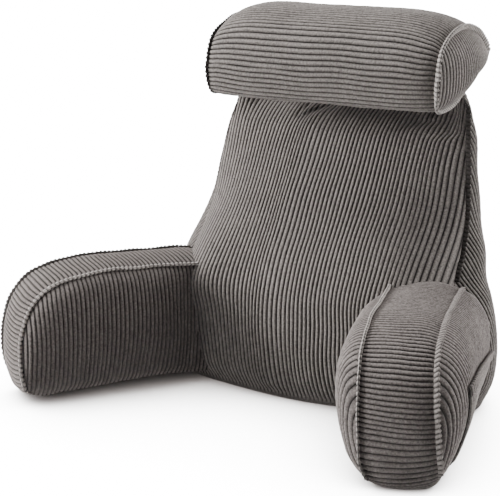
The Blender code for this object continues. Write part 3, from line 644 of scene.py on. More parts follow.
class BackForm:
    """The backrest. Its side seams run up from the foot, round the shoulders and along the top."""

    def __init__(self):
        height, half, setback = (np.array(column) for column in zip(*BACK_EDGE))
        knots = run_of(np.stack((half, height), axis=1))
        self.run = np.linspace(0, knots[-1], PROFILE_POINTS)
        self.half = curve(knots, half, self.run)
        self.height = curve(knots, height, self.run)
        self.setback = curve(knots, setback, self.run)
        self.foot = self.height[0]
        self.top = self.height[-1]
        rows = [np.array(column) for column in zip(*BACK_LINES)]
        self.level, self.front_middle, self.rear_middle, self.side_swell, self.power = rows
        self.press_level, self.press = (np.array(column) for column in zip(*ROLL_PRESS))

    def half_at(self, z):
        return np.interp(z, self.height, self.half)

    def setback_at(self, z):
        return np.interp(z, self.height, self.setback)

    def top_at(self, x):
        return np.interp(np.abs(x), self.half[::-1], self.height[::-1])

    def seam(self, z, side):
        return np.stack((side * self.half_at(z), self.setback_at(z), z), axis=-1)

    def top_seam(self, x):
        z = self.top_at(x)
        return np.stack((x, self.setback_at(z), z), axis=-1)

    def front(self, x, z):
        half, setback = self.half_at(z), self.setback_at(z)
        middle = curve(self.level, self.front_middle, z)
        share = np.minimum(1.0, np.abs(x) / np.maximum(half, SMALLEST))
        power = curve(self.level, self.power, z)
        edge = 1 - np.sqrt(np.maximum(0.0, 1 - share * share))
        depth = (1 - FRONT_EDGE_ROUND) * share**power + FRONT_EDGE_ROUND * edge
        press = curve(self.press_level, self.press, z) * (1 - ease((np.abs(x) - PRESS_HALF) / PRESS_FADE))
        for at_x, at_z, wide, high, swell in FRONT_SWELLS:
            press = press - swell * np.exp(-(((x - at_x) / wide) ** 2) - ((z - at_z) / high) ** 2)
        press = press * (1 - share**PRESS_EDGE)
        return np.stack((x, middle + (setback - middle) * depth + press, z), axis=-1)

    def rear(self, share, z):
        half, setback = self.half_at(z), self.setback_at(z)
        middle = curve(self.level, self.rear_middle, z)
        cosine = np.abs(share) ** (1 / REAR_SQUARENESS)
        depth = np.sqrt(np.maximum(0.0, 1 - cosine * cosine)) ** REAR_POWER
        swell = curve(self.level, self.side_swell, z) * depth * (1 - depth) ** 3 / SWELL_PEAK
        x = half * share + np.copysign(swell, share)
        return np.stack((x, setback + (middle - setback) * depth, z + 0 * share), axis=-1)


class RollForm:
    """The neck roll: one section along its whole length, fuller in the middle, between two domed ends."""

    def __init__(self):
        places = np.array([row[1:] for row in ROLL_SECTION])
        places = np.vstack((places, places, places, places[:1]))
        knots = run_of(places)
        turn = len(ROLL_SECTION)
        fine = np.linspace(knots[turn], knots[2 * turn], PROFILE_POINTS)
        self.y, self.z = curve(knots, places[:, 0], fine), curve(knots, places[:, 1], fine)
        self.run = run_of(np.stack((self.y, self.z), axis=1))
        self.round = self.run[-1]
        wales = round(self.round / WALE)
        self.pitch = self.round / wales
        self.wale_runs = ((np.arange(wales)[:, None] + np.array(WALE_STEPS)) * self.pitch).ravel()
        step_y = np.roll(self.y[:-1], -1) - np.roll(self.y[:-1], 1)
        step_z = np.roll(self.z[:-1], -1) - np.roll(self.z[:-1], 1)
        length = np.hypot(step_y, step_z)
        self.normal_y = np.append(-step_z / length, -step_z[0] / length[0])
        self.normal_z = np.append(step_y / length, step_y[0] / length[0])
        self.middle = np.array(((self.y.max() + self.y.min()) / 2, (self.z.max() + self.z.min()) / 2))
        angle = np.arctan2(self.z - self.middle[1], self.y - self.middle[0])[:-1]
        reach = np.hypot(self.z - self.middle[1], self.y - self.middle[0])[:-1]
        order = np.argsort(angle)
        self.angle, self.reach = angle[order], reach[order]

    def section(self, run):
        run = np.mod(run, self.round)
        values = (self.y, self.z, self.normal_y, self.normal_z)
        return [np.interp(run, self.run, value) for value in values]

    def share_out(self, y, z):
        """How far out of the section's middle a point lies: 1 on the seam."""
        angle = np.arctan2(z - self.middle[1], y - self.middle[0])
        reach = np.interp(angle, self.angle, self.reach, period=2 * math.pi)
        return np.hypot(z - self.middle[1], y - self.middle[0]) / reach

    def seam(self, run, side):
        y, z, _, _ = self.section(run)
        return np.stack((np.full_like(y, ROLL_OFFSET + side * ROLL_HALF), y, z), axis=-1)


def linear(code):
    """A colour given as sRGB hex, as the linear colour that a shader takes, by the standard's own numbers."""
    parts = [int(code[start : start + 2], 16) / 255 for start in (1, 3, 5)]
    return tuple(c / 12.92 if c <= 0.04045 else ((c + 0.055) / 1.055) ** 2.4 for c in parts) + (1.0,)


def node(tree, kind, links=(), **settings):
    """Adds one node: its settings, the values of its sockets (in_ and the socket's name), and its links."""
    made = tree.nodes.new(kind)
    for key, value in settings.items():
        if key.startswith("in_"):
            made.inputs[key[3:].replace("_", " ")].default_value = value
        else:
            setattr(made, key, value)
    for source, target in links:
        tree.links.new(source, made.inputs[target])
    return made


def blank_material(name):
    material = bpy.data.materials.new(name)
    material.use_nodes = True
    material.node_tree.nodes.clear()
    return material, material.node_tree


TUFT_MM = 3.0303  # tufts of the cut pile: finer ones would not show
PATCH_MM = 41.667  # patches where the pile lies another way


def corduroy(name, crest="#827c78", furrow="#110f0e", worn="#8c8682"):
    """Wide-wale corduroy of cotton and polyester: a matt, slightly furry taupe grey. Shade is painted into
    its colour down in the furrows, nearly black there; it is a little paler where it is rubbed, and has a
    soft sheen at a low angle."""
    material, tree = blank_material(name)
    where = [(node(tree, "ShaderNodeTexCoord").outputs["Object"], "Vector")]
    height = node(tree, "ShaderNodeAttribute", attribute_name="pile_height").outputs["Fac"]
    tuft = node(tree, "ShaderNodeTexNoise", where, in_Scale=1000 / TUFT_MM, in_Detail=3, in_Roughness=0.65)
    patch = node(tree, "ShaderNodeTexNoise", where, in_Scale=1000 / PATCH_MM, in_Detail=4, in_Roughness=0.55)
    down = node(tree, "ShaderNodeMapRange", [(height, "Value")], in_From_Min=0.22, in_From_Max=0.98)
    pile_colour_with_furrow_shade = node(tree, "ShaderNodeMix", [(down.outputs["Result"], "Factor")], data_type="RGBA")
    # painted shade: down in the furrows the colour goes to the furrow colour, nearly black
    pile_colour_with_furrow_shade.inputs[6].default_value = linear(furrow)
    pile_colour_with_furrow_shade.inputs[7].default_value = linear(crest)
    lying = [(patch.outputs["Fac"], "Value")]
    share = node(tree, "ShaderNodeMapRange", lying, in_From_Min=0.35, in_From_Max=0.7, in_To_Max=0.35)
    both = [(share.outputs["Result"], 0), (down.outputs["Result"], 1)]
    rubbed = node(tree, "ShaderNodeMath", both, operation="MULTIPLY")
    over = [(rubbed.outputs["Value"], "Factor"), (pile_colour_with_furrow_shade.outputs[2], 6)]
    colour = node(tree, "ShaderNodeMix", over, data_type="RGBA")
    colour.inputs[7].default_value = linear(worn)
    tufts = [(tuft.outputs["Fac"], "Value")]
    speckle = node(
        tree, "ShaderNodeMapRange", tufts, in_From_Min=0.3, in_From_Max=0.7, in_To_Min=0.55, in_To_Max=1.45
    )
    speckling = [(colour.outputs[2], 0), (speckle.outputs["Result"], "Scale")]
    speckled = node(tree, "ShaderNodeVectorMath", operation="SCALE", links=speckling)
    raised = [(tuft.outputs["Fac"], "Height")]
    furry = node(tree, "ShaderNodeBump", raised, in_Strength=0.7, in_Distance=0.0010)
    shader = node(
        tree,
        "ShaderNodeBsdfPrincipled",
        [(speckled.outputs["Vector"], "Base Color"), (furry.outputs["Normal"], "Normal")],
        in_Roughness=0.95,
        in_Specular_IOR_Level=0.15,
        in_Sheen_Weight=0.22,
        in_Sheen_Roughness=0.45,
        in_Sheen_Tint=linear("#cfc6c2"),
    )
    node(tree, "ShaderNodeOutputMaterial", [(shader.outputs["BSDF"], "Surface")])
    return material


ARM_NAP_AND_PAINTED_SHADE = {
    # each arm's crests, furrows and rubbed patches, darker than the backrest's: partly the pile lying its own
    # way on each arm, partly painted shade that stands in for how the lights fall on the arm, most on the
    # left arm
    "arm_left": ("#736c69", "#110f0e", "#7d7672"),
    "arm_right": ("#7c7572", "#110f0e", "#8a837f"),
}
FLANGES = {
    # where the flange lies: its width, its thickness, and the colours of its crests and furrows; these
    # colours are a painted highlight on the flanges that face the light and painted shade on those that face
    # away
    ("arm_left", "inner"): (0.0080, 0.0058, "#cdc5c0", "#171412"),
    ("arm_left", "outer"): (0.0070, 0.0042, "#3c3836", "#0b0a09"),
    ("arm_right", "inner"): (0.0072, 0.0048, "#b5aea9", "#131110"),
    ("arm_right", "outer"): (0.0076, 0.0050, "#958e8a", "#070606"),
    ("back", "left"): (0.0060, 0.0040, "#5a5552", "#0d0c0b"),
    ("back", "right"): (0.0078, 0.0044, "#3f3b39", "#0a0909"),
    ("roll", "left"): (0.0066, 0.0044, "#35312f", "#0a0909"),
    ("roll", "right"): (0.0090, 0.0060, "#b9b2ad", "#070606"),
}


def flange_corduroy_with_painted_light(where, which):
    """The same corduroy at a flange's cut edge, in that flange's own colours: a painted highlight where it
    faces the light, and near-black painted shade where it faces away from it, where the pile also lies away
    from the light."""
    _, _, crest, furrow = FLANGES[(where, which)]
    return corduroy(f"cut corduroy of the {where} {which} flange", crest, furrow, crest)


COVER_REACH = 0.50  # the floor's painted shade deepens under what is nearer than this
COVER_DARK = 0.08  # share of open air over the floor's darkest shade
COVER_CLEAR = 0.66  # and over plain white


def floor_material():
    """A plain white studio floor, painted and matt, with shade painted into its colour in the nooks that the
    light can't get into.
    """
    material, tree = blank_material("matt white studio floor")
    covered = node(tree, "ShaderNodeAmbientOcclusion", in_Distance=COVER_REACH)
    shade = node(
        tree,
        "ShaderNodeMapRange",
        [(covered.outputs["AO"], "Value")],
        in_From_Min=COVER_DARK,
        in_From_Max=COVER_CLEAR,
        interpolation_type="SMOOTHSTEP",
    )
    floor_paint_with_shadow = node(tree, "ShaderNodeMix", [(shade.outputs["Result"], "Factor")], data_type="RGBA")
    # painted shadow: the floor's colour where it is most covered
    floor_paint_with_shadow.inputs[6].default_value = linear("#5c5755")
    floor_paint_with_shadow.inputs[7].default_value = linear("#f7f7f7")
    shader = node(tree, "ShaderNodeBsdfPrincipled", [(floor_paint_with_shadow.outputs[2], "Base Color")], in_Roughness=0.9)
    node(tree, "ShaderNodeOutputMaterial", [(shader.outputs["BSDF"], "Surface")])
    return material


def front_folds(x, z):
    """Small puckers under the roll and beside the upper right seam."""
    total = 0.0
    for fold_x, fold_z, turn, length, width, depth in FRONT_FOLDS:
        angle = math.radians(turn)
        along = (x - fold_x) * math.sin(angle) + (z - fold_z) * math.cos(angle)
        across = (x - fold_x) * math.cos(angle) - (z - fold_z) * math.sin(angle)
        total = total - depth * np.exp(-((along / length) ** 2) - (across / width) ** 2)
    return total


def front_jogs(x, z):
    """How far the wales step aside where the cloth is folded."""
    total = 0.0
    for at_x, at_z, wide, high, shift in FRONT_JOGS:
        total = total + shift * np.tanh((z - at_z) / high) * np.exp(-(((x - at_x) / wide) ** 2))
    return total * ease((JOGS_END - z) / JOGS_FADE)


def front_panel(cloth, form, levels):
    """The backrest's front, up to its top seam. It gives back the numbers of its points."""
    columns = wale_lines(-form.half[0], form.half[0])
    z, x = grid_of(levels, columns)
    half = form.half_at(z)
    x = np.clip(x, -half, half)
    corner_x = form.half_at(CORNER)
    crown_rows = even(CORNER, form.top, CROWN_ROW_STEP)[1:]
    top_z, top_x = grid_of(crown_rows, np.clip(columns, -corner_x, corner_x))
    x, z = np.vstack((x, top_x)), np.vstack((z, np.minimum(top_z, form.top_at(top_x))))
    points = form.front(x, z)
    from_seam = np.minimum(form.half_at(z) - np.abs(x), np.maximum(form.top_at(x), CORNER) - z)
    from_seam = np.maximum(0.0, np.minimum(from_seam, (z - form.foot) * FOOT_EDGE))
    lumps = LUMPS * stray(x, z, LUMP_LENGTH["front"], SEEDS["front lumps"])
    lift = pile(columns[None, :], from_seam) + lumps * ease(from_seam / LUMP_FADE["front"])
    points[..., 1] -= tufted(lift + front_folds(x, z), SEEDS["front tufts"])
    drift = WALE_DRIFT * stray(x * FRONT_DRIFT_STRETCH, z, DRIFT_LENGTH["front"], SEEDS["front drift"])
    points[..., 0] += (drift + front_jogs(x, z)) * ease(from_seam / DRIFT_FADE)
    return cloth.panel(points, wale_rise(columns)[None, :] + 0 * z)


def rear_rows(form, levels, columns):
    """The back panel with its wales at an even pitch from its middle, cut off by the side seams."""
    shares = np.sin(np.linspace(-math.pi / 2, math.pi / 2, 2 * ARC_POINTS + 1))
    rows, normals, seams = [], [], []
    for z in levels:
        line = form.rear(shares, np.full_like(shares, z))
        run = run_of(line[:, :2])
        run = run - run[-1] / 2
        at = np.clip(columns, run[0], run[-1])
        slope_x, slope_y = np.gradient(line[:, 0], run), np.gradient(line[:, 1], run)
        out = np.stack((-slope_y, slope_x, 0 * slope_x), axis=-1)
        rows.append(interpolated(at, run, line))
        normals.append(unit(interpolated(at, run, out)))
        seams.append(np.minimum(at - run[0], run[-1] - at))
    return np.array(rows), np.array(normals), np.array(seams)


def rear_panel(cloth, form, levels):
    """The backrest's back, which wraps round both sides and turns over to the top seam."""
    shares = np.sin(np.linspace(0, math.pi / 2, ARC_POINTS))
    level, share = grid_of(levels, shares)
    reach = np.linalg.norm(np.diff(form.rear(share, level)[..., :2], axis=1), axis=2).sum(axis=1).max()
    columns = wale_lines(-reach, reach)
    points, normals, from_seam = rear_rows(form, levels, columns)
    x, y, z = np.moveaxis(points, -1, 0)
    lumps = LUMPS * stray(x, z + y, LUMP_LENGTH["rear"], SEEDS["rear lumps"])
    lift = pile(columns[None, :], from_seam) + lumps
    points = points + normals * (tufted(lift, SEEDS["rear tufts"]) * ease(from_seam / REAR_FADE))[..., None]
    last = points[-1]
    corner_x = form.half_at(CORNER)
    ridge = form.top_seam(np.clip(last[:, 0], -corner_x, corner_x)) + np.array((0.0, EDGE_TUCK, 0.0))
    ribs = WALE_DEPTH * wale_rise(columns) - FURROW_BELOW
    crown = []
    for share in even(0.0, 1.0, RIDGE_STEP)[1:]:
        over = last * (1 - share) + ridge * share
        inwards = ease((corner_x - np.abs(last[:, 0])) / RIDGE_FADE)
        over[:, 2] += RIDGE_ROUND * 4 * share * (1 - share) * inwards
        over[:, 1:] += unit(np.array(RIDGE_OUT)) * (ribs * ease((1 - share) / RIDGE_PLAIN))[:, None]
        crown.append(over)
    points = np.concatenate((points, np.array(crown)))
    return cloth.panel(points, wale_rise(columns)[None, :] + 0 * points[..., 0])


def close_base(cloth, form, ring):
    """Rounds the cover's lower edge under and closes it with a flat base."""
    middle = np.array((0.0, (form.front_middle[0] + form.rear_middle[0]) / 2, 0.0))
    edge = cloth.points[ring]
    for turn in BASE_TURNS:
        angle = math.radians(turn)
        lower = middle + (edge - middle) * (1 - (1 - BASE_INSET) * (1 - math.cos(angle)))
        lower[:, 2] = form.foot * (1 - math.sin(angle))
        below = cloth.add(lower, HIDDEN_PILE)
        cloth.band(ring, below)
        ring = below
    cloth.cap(ring)


def back_cover(form):
    """The backrest's cover: a front panel, a back panel that wraps round both sides, and a base."""
    cloth = Cloth()
    foot_end, foot_step = FOOT_ROWS
    pressed, pressed_step = PRESSED_ROWS
    rows = ((form.foot, foot_end, foot_step), (foot_end, pressed, ROW_STEP), (pressed, CORNER, pressed_step))
    levels = np.unique(np.concatenate([even(*row) for row in rows]))
    front = front_panel(cloth, form, levels)
    rear = rear_panel(cloth, form, levels)
    count = len(levels)
    loops = [np.concatenate((grid[:count, 0], grid[-1, :], grid[:count, -1][::-1])) for grid in (front, rear)]
    cloth.sew(*loops)
    close_base(cloth, form, np.concatenate((front[0], rear[0][::-1])))
    return cloth


def arm_cover(form, seed):
    """An arm's cover: a gusset over the top, round the nose and under it, and two side panels."""
    cloth = Cloth()
    last_run = form.run[-1]
    across = np.clip(edge_dense(GUSSET_POINTS), EDGE_TUCK / GUSSET, 1 - EDGE_TUCK / GUSSET)
    run, share = grid_of(wale_lines(0.0, last_run), across)
    from_seam = np.minimum(share, 1 - share) * GUSSET
    lumps = LUMPS * stray(run, share * GUSSET, LUMP_LENGTH["arm"], seed) * ease(from_seam / LUMP_FADE["arm"])
    lift = tufted(pile(run, from_seam) + lumps, seed + 2)
    drift = WALE_DRIFT * stray(run, share * GUSSET, DRIFT_LENGTH["gusset"], seed + 1)
    bowed = np.clip(run + GUSSET_BOW * (4 * share * (1 - share) - 0.5) + drift, 0.0, last_run)
    gusset = cloth.panel(form.gusset(bowed, share, lift), wale_rise(run))
    shares = np.clip(edge_dense(SIDE_POINTS), SIDE_MARGIN, 1 - SIDE_MARGIN)
    ends = []
    for which, column in (("inner", 0), ("outer", -1)):
        length_u, length = form.cloth_length(which)
        line, share = grid_of(wale_lines(length[0], TIP_TUCK), shares)
        u = np.interp(line, length, length_u)
        low, high = form.span(u, which)
        z = low + share * (high - low)
        from_seam = np.minimum(np.minimum(share, 1 - share) * (high - low), (form.tip_u - u) * NOSE_EDGE)
        lumps = LUMPS * stray(u, z, LUMP_LENGTH["arm"], seed + 5) * ease(from_seam / LUMP_FADE["arm"])
        lift = tufted(pile(line, from_seam) + lumps, seed + 6)
        drift = WALE_DRIFT * stray(u, z * SIDE_DRIFT_STRETCH, DRIFT_LENGTH["side"], seed + 7)
        drift = (drift * ease(from_seam / DRIFT_FADE))[..., None] * form.along
        grid = cloth.panel(form.side_panel(u, share, which, lift) + drift, wale_rise(line))
        cloth.sew(gusset[:, column], np.concatenate((grid[:, -1], grid[:, 0][::-1])))
        ends.append(grid[0])
    inner, outer = ends
    cloth.cap(np.concatenate((gusset[0], outer[::-1], gusset[-1][::-1], inner)))
    return cloth


def end_panel(cloth, form, side, edge):
    """A domed panel with upright wales that closes one end of the roll."""
    front = int(np.argmin(form.y))
    order_y, order_z = np.roll(form.y[:-1], -front), np.roll(form.z[:-1], -front)
    back = int(np.argmax(order_y))
    lines = wale_lines(form.y.min() + ROLL_END_INSET, form.y.max() - ROLL_END_INSET)
    upper = np.interp(lines, order_y[: back + 1], order_z[: back + 1])
    lower = np.interp(lines, order_y[back:][::-1], order_z[back:][::-1])
    line, share = grid_of(lines, np.clip(edge_dense(END_POINTS), END_MARGIN, 1 - END_MARGIN))
    height = lower[:, None] + share * (upper - lower)[:, None]
    out = np.minimum(1.0, form.share_out(line, height))
    lift = ROLL_END_CROWN * (1 - out**2) + pile(line, (1 - out) * ROLL_END_REACH)
    points = np.stack((ROLL_OFFSET + side * (ROLL_HALF + lift), line, height), axis=-1)
    grid = cloth.panel(points, wale_rise(line))
    loop = align(cloth, np.concatenate((grid[:, -1], grid[:, 0][::-1][1:-1])), edge)
    cloth.sew(np.append(edge, edge[0]), np.append(loop, loop[0]))


def roll_cover(form):
    """The neck roll's cover: one panel round it with the wales along its length, and two end panels."""
    cloth = Cloth()
    tuck = EDGE_TUCK / ROLL_HALF
    shares = np.clip(2 * edge_dense(ROLL_POINTS, ROLL_CROWDING) - 1, -1 + tuck, 1 - tuck)
    share, run = grid_of(shares, form.wale_runs)
    along, wales = share * ROLL_HALF, run * WALE / form.pitch
    from_seam = (1 - np.abs(share)) * ROLL_HALF
    drift = WALE_DRIFT * stray(along, run, DRIFT_LENGTH["roll"], SEEDS["roll drift"])
    y, z, normal_y, normal_z = form.section(run + drift * ease(from_seam / DRIFT_FADE))
    flatness, drop = ROLL_CROWN_POWERS
    crown = ROLL_CROWN * (1 - share**flatness) ** drop * (ROLL_CROWN_MEAN + ROLL_CROWN_TOP * normal_z)
    turned = np.sin(run / form.round * 2 * math.pi) * ROLL_ROUND
    lumps = LUMPS * stray(along, turned, LUMP_LENGTH["roll"], SEEDS["roll lumps"])
    lift = tufted(pile(wales, from_seam) + crown + lumps, SEEDS["roll tufts"])
    points = np.stack((ROLL_OFFSET + along, y + normal_y * lift, z + normal_z * lift), axis=-1)
    grid = cloth.panel(points, wale_rise(wales))
    cloth.tube(grid)
    for side, edge in ((-1, grid[0]), (1, grid[-1])):
        end_panel(cloth, form, side, edge)
    return cloth


def align(cloth, loop, edge):
    """Turns a closed loop of numbers so that it starts beside the edge's start and runs the same way."""
    places = cloth.points[loop]
    start = int(np.argmin(np.linalg.norm(places - cloth.points[edge[0]], axis=1)))
    loop = np.roll(loop, -start)
    ahead = np.linalg.norm(cloth.points[loop[len(loop) // 4]] - cloth.points[edge[len(edge) // 4]])
    behind = np.linalg.norm(cloth.points[loop[-(len(loop) // 4)]] - cloth.points[edge[len(edge) // 4]])
    if behind < ahead:
        loop = np.concatenate((loop[:1], loop[1:][::-1]))
    return loop


def off_floor(places, leans, width):
    """The same leans, turned up where a flange's edge would lie below the floor."""
    least = (FLOOR_CLEAR - places[:, 2]) / width
    up = np.maximum(leans[:, 2], least)
    level = unit(leans * np.array((1, 1, 0)))
    return level * np.sqrt(np.maximum(0.0, 1 - up * up))[:, None] + up[:, None] * np.array((0, 0, 1))


def flange_cloth(places, leans, runs, seed, where, which, looped=False, drawn=1.0):
    """A flange: two seam allowances stitched together, a flat strip with the cut wales as beads."""
    cloth = Cloth()
    if looped:
        steps, tapered = np.roll(places, -1, axis=0) - np.roll(places, 1, axis=0), np.ones(len(runs))
    else:
        steps, tapered = np.gradient(places, axis=0), ease((runs[-1] - runs) / FLANGE_TAPER)
    tangents = unit(steps)
    width, thick, _, _ = FLANGES[(where, which)]
    strays = enumerate(FLANGE_STRAYS)
    sway, uneven, shift = [most * stray(runs, 0 * runs, length, seed + nth) for nth, (most, length) in strays]
    leans = unit(leans - tangents * (leans * tangents).sum(axis=1, keepdims=True))
    leans = off_floor(places, unit(leans + np.cross(tangents, leans) * sway[:, None]), width)
    sides = np.cross(tangents, leans)
    width = width * drawn * tapered * (1 + uneven)
    thick = thick * (FLANGE_END + (1 - FLANGE_END) * tapered)
    places = places + sides * shift[:, None]
    around = [(share, -part) for share, part in FLANGE_SECTION]
    around += [(FLANGE_GROOVE, 0.0)] + [(share, part) for share, part in FLANGE_SECTION[::-1]]
    columns, beads = [], []
    for share, part in around:
        bead = wale_rise(runs + FLANGE_SLANT * WALE * share)
        up = -FLANGE_SINK + share * (width * (1 - FLANGE_NOTCH * (1 - bead)) + FLANGE_SINK)
        across = thick * (FLANGE_THIN + (1 - FLANGE_THIN) * bead) * part / 2
        columns.append(places + leans * up[:, None] + sides * across[:, None])
        beads.append(BEAD_PILE + (1 - BEAD_PILE) * bead)
    points, rise = np.stack(columns, axis=1), np.stack(beads, axis=1)
    # painted shade in the groove between the flange's two layers
    rise[:, len(FLANGE_SECTION)] *= GROOVE_PILE
    grid = cloth.panel(points, rise)
    cloth.tube(grid)
    if looped:
        cloth.band(grid[-1], grid[0])
    else:
        cloth.cap(grid[0])
        cloth.cap(grid[-1])
    return cloth


def arm_flange(form, back, where, which, seed):
    """A flange along an arm, from where its seam comes out of the backrest to under the toe."""
    run = float(form.run_at(0.0)) - GUSSET / 2
    x, y, z = form.seam(run, which)
    while y >= back.front(x, z)[1] + ROOT_SINK:
        run += FLANGE_SEARCH
        x, y, z = form.seam(run, which)
    runs = wale_lines(run, float(form.run_at(FLANGE_TOE, top=False)))
    return flange_cloth(form.seam(runs, which), form.lean(runs, which), runs, seed, where, which)


def back_flange(form, side, word, seed):
    places = form.seam(wale_lines(BACK_FLANGE_FROM - BACK_FLANGE_HIDDEN, BACK_FLANGE_TO), side)
    outwards, backwards = BACK_FLANGE_LEAN[side]
    leans = np.array((side * outwards, backwards, 0.0)) + 0 * places
    return flange_cloth(places, leans, run_of(places), seed, "back", word)


def roll_flange(form, side, word, seed):
    runs = form.wale_runs
    _, _, normal_y, normal_z = form.section(runs)
    least, forwards = ROLL_FLANGE_LEAN[side]
    off_end = least + forwards * np.maximum(0.0, -normal_y)
    off_length = np.sqrt(np.maximum(0.0, 1 - off_end * off_end))
    leans = np.stack((side * off_end, off_length * normal_y, off_length * normal_z), axis=-1)
    drawn = 1 - ROLL_FLANGE_DRAWN * ease(-normal_z / ROLL_FLANGE_DOWN)
    wales = runs * WALE / form.pitch
    return flange_cloth(form.seam(runs, side), leans, wales, seed, "roll", word, True, drawn)


def rim(grid):
    """The numbers round the edge of a grid."""
    return np.concatenate((grid[0], grid[1:, -1], grid[-1][::-1][1:], grid[1:-1, 0][::-1]))


def pocket_cloth(form):
    """The patch pocket: a sheet on the arm's outer panel, hemmed along its open top edge."""
    cloth = Cloth()
    u, part = grid_of(wale_lines(POCKET_BACK, POCKET_FRONT), even(0.0, 1.0, POCKET_ROW_STEP))
    top = np.interp(u, (POCKET_BACK, POCKET_FRONT), POCKET_TOP)
    share = POCKET_BOTTOM + part * (top - POCKET_BOTTOM)
    low, high = form.span(u, "outer")
    edge = np.minimum.reduce((u - POCKET_BACK, POCKET_FRONT - u, (share - POCKET_BOTTOM) * (high - low)))
    hem = ease((POCKET_HEM - (top - share) * (high - low)) / POCKET_HEM_FADE)
    rise = wale_rise(u)
    under = WALE_DEPTH - FURROW_BELOW + POCKET_LIFT + POCKET_HEM_LIFT * hem
    wales = POCKET_WALES * WALE_DEPTH * rise * ease(edge / REAR_FADE)
    over = under + POCKET_THICK + wales + POCKET_HEM_THICK * hem
    inner = cloth.panel(form.side_panel(u, share, "outer", under), POCKET_INSIDE)
    outer = cloth.panel(form.side_panel(u, share, "outer", over), rise)
    cloth.band(rim(inner), rim(outer))
    return cloth


def tree_of(piece):
    mesh = piece.data
    return BVHTree.FromPolygons([v.co for v in mesh.vertices], [p.vertices for p in mesh.polygons])


def depth_in(world, near, tree):
    """How deep points lie inside a piece, in metres; outside it is negative."""
    depth = np.full(len(world), -1.0)
    for index in np.nonzero(near)[0]:
        place = Vector(world[index])
        hit, normal, _, distance = tree.find_nearest(place)
        depth[index] = distance if (place - hit).dot(normal) < 0 else -distance
    return depth


def trim_root(cloth, tree):
    """Cuts off what of an arm lies deep in the backrest, along a line, and closes the cut there."""
    points, rise, faces = cloth.welded()
    depth = depth_in(points + PLACE, points[:, 1] + PLACE[1] > ROOT_NEAR, tree) - ROOT_SINK
    kept = depth < 0
    count = kept[faces].sum(axis=1)
    made = [tuple(face) for face in faces[count == 3]]
    new_points, new_rise, crossings, beside = [], [], {}, {}

    def crossing(a, b):
        key = (min(a, b), max(a, b))
        if key not in crossings:
            share = depth[a] / (depth[a] - depth[b])
            crossings[key] = len(points) + len(new_points)
            new_points.append(points[a] + (points[b] - points[a]) * share)
            new_rise.append(rise[a] + (rise[b] - rise[a]) * share)
        return crossings[key]

    for a, b, c in faces[(count == 1) | (count == 2)].tolist():
        inside_out = kept[[a, b, c]].sum() == 2
        while kept[a] == inside_out or kept[b] != inside_out or kept[c] != inside_out:
            a, b, c = b, c, a
        near, far = crossing(a, b), crossing(a, c)
        if inside_out:
            made += [(b, c, far), (b, far, near)]
        else:
            made.append((a, near, far))
        beside.setdefault(near, []).append(far)
        beside.setdefault(far, []).append(near)
    all_points = points.tolist() + [list(place) for place in new_points]
    all_rise = rise.tolist() + new_rise
    seen = set()
    for start in beside:
        if start in seen:
            continue
        ring = [start]
        seen.add(start)
        while True:
            ahead = [other for other in beside[ring[-1]] if other not in seen]
            if not ahead:
                break
            ring.append(ahead[0])
            seen.add(ahead[0])
        if len(ring) < 3:
            continue
        all_points.append(np.mean([all_points[index] for index in ring], axis=0).tolist())
        all_rise.append(HIDDEN_PILE)
        made += [(ring[index - 1], ring[index], len(all_points) - 1) for index in range(len(ring))]
    faces = np.array(made)
    used = np.unique(faces)
    number = np.full(len(all_points), -1)
    number[used] = np.arange(len(used))
    return np.array(all_points)[used] + PLACE, np.array(all_rise)[used], number[faces]


def press_up(cloth, tree):
    """Lifts what of the roll would lie inside the backrest until it rests on it."""
    points, rise, faces = cloth.welded()
    world = points + PLACE
    depth = depth_in(world, world[:, 2] < ROLL_LOW, tree)
    for index in np.nonzero((depth > 0) & (depth < ROLL_DEEPEST))[0]:
        above = tree.ray_cast(Vector(world[index]), Vector((0.0, 0.0, 1.0)))
        if above[0] is not None:
            world[index, 2] = above[0].z + ROLL_REST
    return world, rise, faces


def dress(piece, slot):
    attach(piece, "root")
    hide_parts(slot)
    return piece


def trim(cloth, where, which):
    """A flange's cloth as a piece."""
    return dress(cloth.piece(f"{where}_{which}_trim", flange_corduroy_with_painted_light(where, which)), f"{where}_{which}_flange")


back, roll = BackForm(), RollForm()
arms = {name: ArmForm(*sizes) for name, *sizes in ARMS}
backrest = back_cover(back).piece("backrest_cover", corduroy("corduroy of the backrest"))
back_tree = tree_of(backrest)
dress(backrest, "backrest")
seed = SEEDS["arms"]
for name, form in arms.items():
    closed = trim_root(arm_cover(form, seed), back_tree)
    # each arm gets its own copy of the corduroy, with painted shade on top of the pile's lie
    cover = mesh_piece(name + "_cover", *closed, corduroy("corduroy of the " + name, *ARM_NAP_AND_PAINTED_SHADE[name]))
    dress(cover, name)
    for which in ("inner", "outer"):
        seed += 10
        trim(arm_flange(form, back, name, which, seed), name, which)
for side, word in ((-1, "left"), (1, "right")):
    trim(back_flange(back, side, word, SEEDS["back flanges"] + side), "back", word)
    trim(roll_flange(roll, side, word, SEEDS["roll flanges"] + side), "roll", word)
rested = press_up(roll_cover(roll), back_tree)
roll_piece = mesh_piece("neck_roll_cover", *rested, corduroy("corduroy of the neck roll"))
dress(roll_piece, "neck_roll")
pocket = pocket_cloth(arms["arm_right"]).piece("pocket_patch", corduroy("corduroy of the pocket"))
dress(pocket, "pocket")


def camera():
    data = bpy.data.cameras.new("camera")
    data.sensor_fit = "HORIZONTAL"
    data.sensor_width = CAMERA_SENSOR
    data.lens = CAMERA_LENS
    made = add_object("camera", data)
    made.location = np.array(CAMERA_PLACE) + PLACE
    turns = (90 - CAMERA_PITCH, CAMERA_ROLL, CAMERA_AZIMUTH)
    made.rotation_euler = [math.radians(turn) for turn in turns]
    bpy.context.scene.camera = made


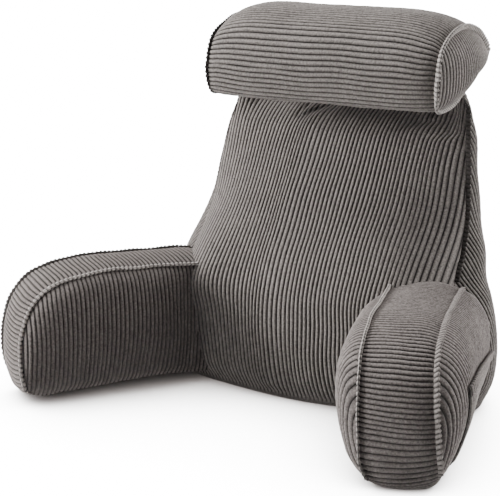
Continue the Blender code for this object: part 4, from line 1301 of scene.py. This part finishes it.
LIGHTS = (
    # name, place, size, watts, aimed at
    ("key softbox", (-3.0, -1.65, 1.35), 1.2, 236.0, (0.0, 0.0, 0.25)),
    ("top softbox", (-0.3, 0.3, 3.0), 1.8, 68.0, (0.0, 0.0, 0.25)),
    ("side softbox", (2.6, 1.3, 1.0), 1.4, 95.0, (0.0, 0.0, 0.25)),
    ("bounce card", (-1.4, -1.4, 0.30), 1.2, 22.0, (0.0, 0.0, 0.15)),
)
FLOOR_LIGHT = 66.0  # makes the floor white, and reaches nothing else
FLOOR_LIGHT_SPREAD = 150.0  # degrees: light from nearly all round, so that its shadow is soft
AIR_LIGHT = 0.20
FLOOR_REACH = 20.0
FLOOR_BELOW = 0.0004  # the floor lies this far below the pillow, so that no face of the two falls together


def studio():
    """A plain white floor with a light of its own, four soft lights and a little light from all round."""
    corners = [(FLOOR_REACH * x, FLOOR_REACH * y, 0.0) for x, y in ((-1, -1), (1, -1), (1, 1), (-1, 1))]
    floor_mesh = bpy.data.meshes.new("floor")
    floor_mesh.from_pydata(corners, [], [(0, 1, 2, 3)])
    floor_mesh.materials.append(floor_material())
    floor = add_object("floor", floor_mesh)
    floor.location.z = -FLOOR_BELOW
    floor.visible_diffuse = False
    only_floor = bpy.data.collections.new("floor only")
    only_floor.objects.link(floor)
    no_floor = bpy.data.collections.new("all but the floor")
    no_floor.objects.link(floor)
    no_floor.collection_objects[0].light_linking.link_state = "EXCLUDE"
    for name, place, size, watts, target in LIGHTS:
        data = bpy.data.lights.new(name, "AREA")
        data.shape = "DISK"
        data.size = size
        data.energy = watts
        lamp = add_object(name, data)
        lamp.visible_camera = False
        lamp.light_linking.receiver_collection = no_floor
        lamp.location = place
        lamp.rotation_euler = (Vector(target) - Vector(place)).to_track_quat("-Z", "Y").to_euler()
    data = bpy.data.lights.new("floor light", "SUN")
    data.energy = FLOOR_LIGHT
    data.angle = math.radians(FLOOR_LIGHT_SPREAD)
    lamp = add_object("floor light", data)
    lamp.light_linking.receiver_collection = only_floor
    world = bpy.data.worlds.new("studio air")
    bpy.context.scene.world = world
    world.use_nodes = True
    air = world.node_tree.nodes["Background"]
    air.inputs["Color"].default_value = linear("#ffffff")
    air.inputs["Strength"].default_value = AIR_LIGHT


camera()
studio()
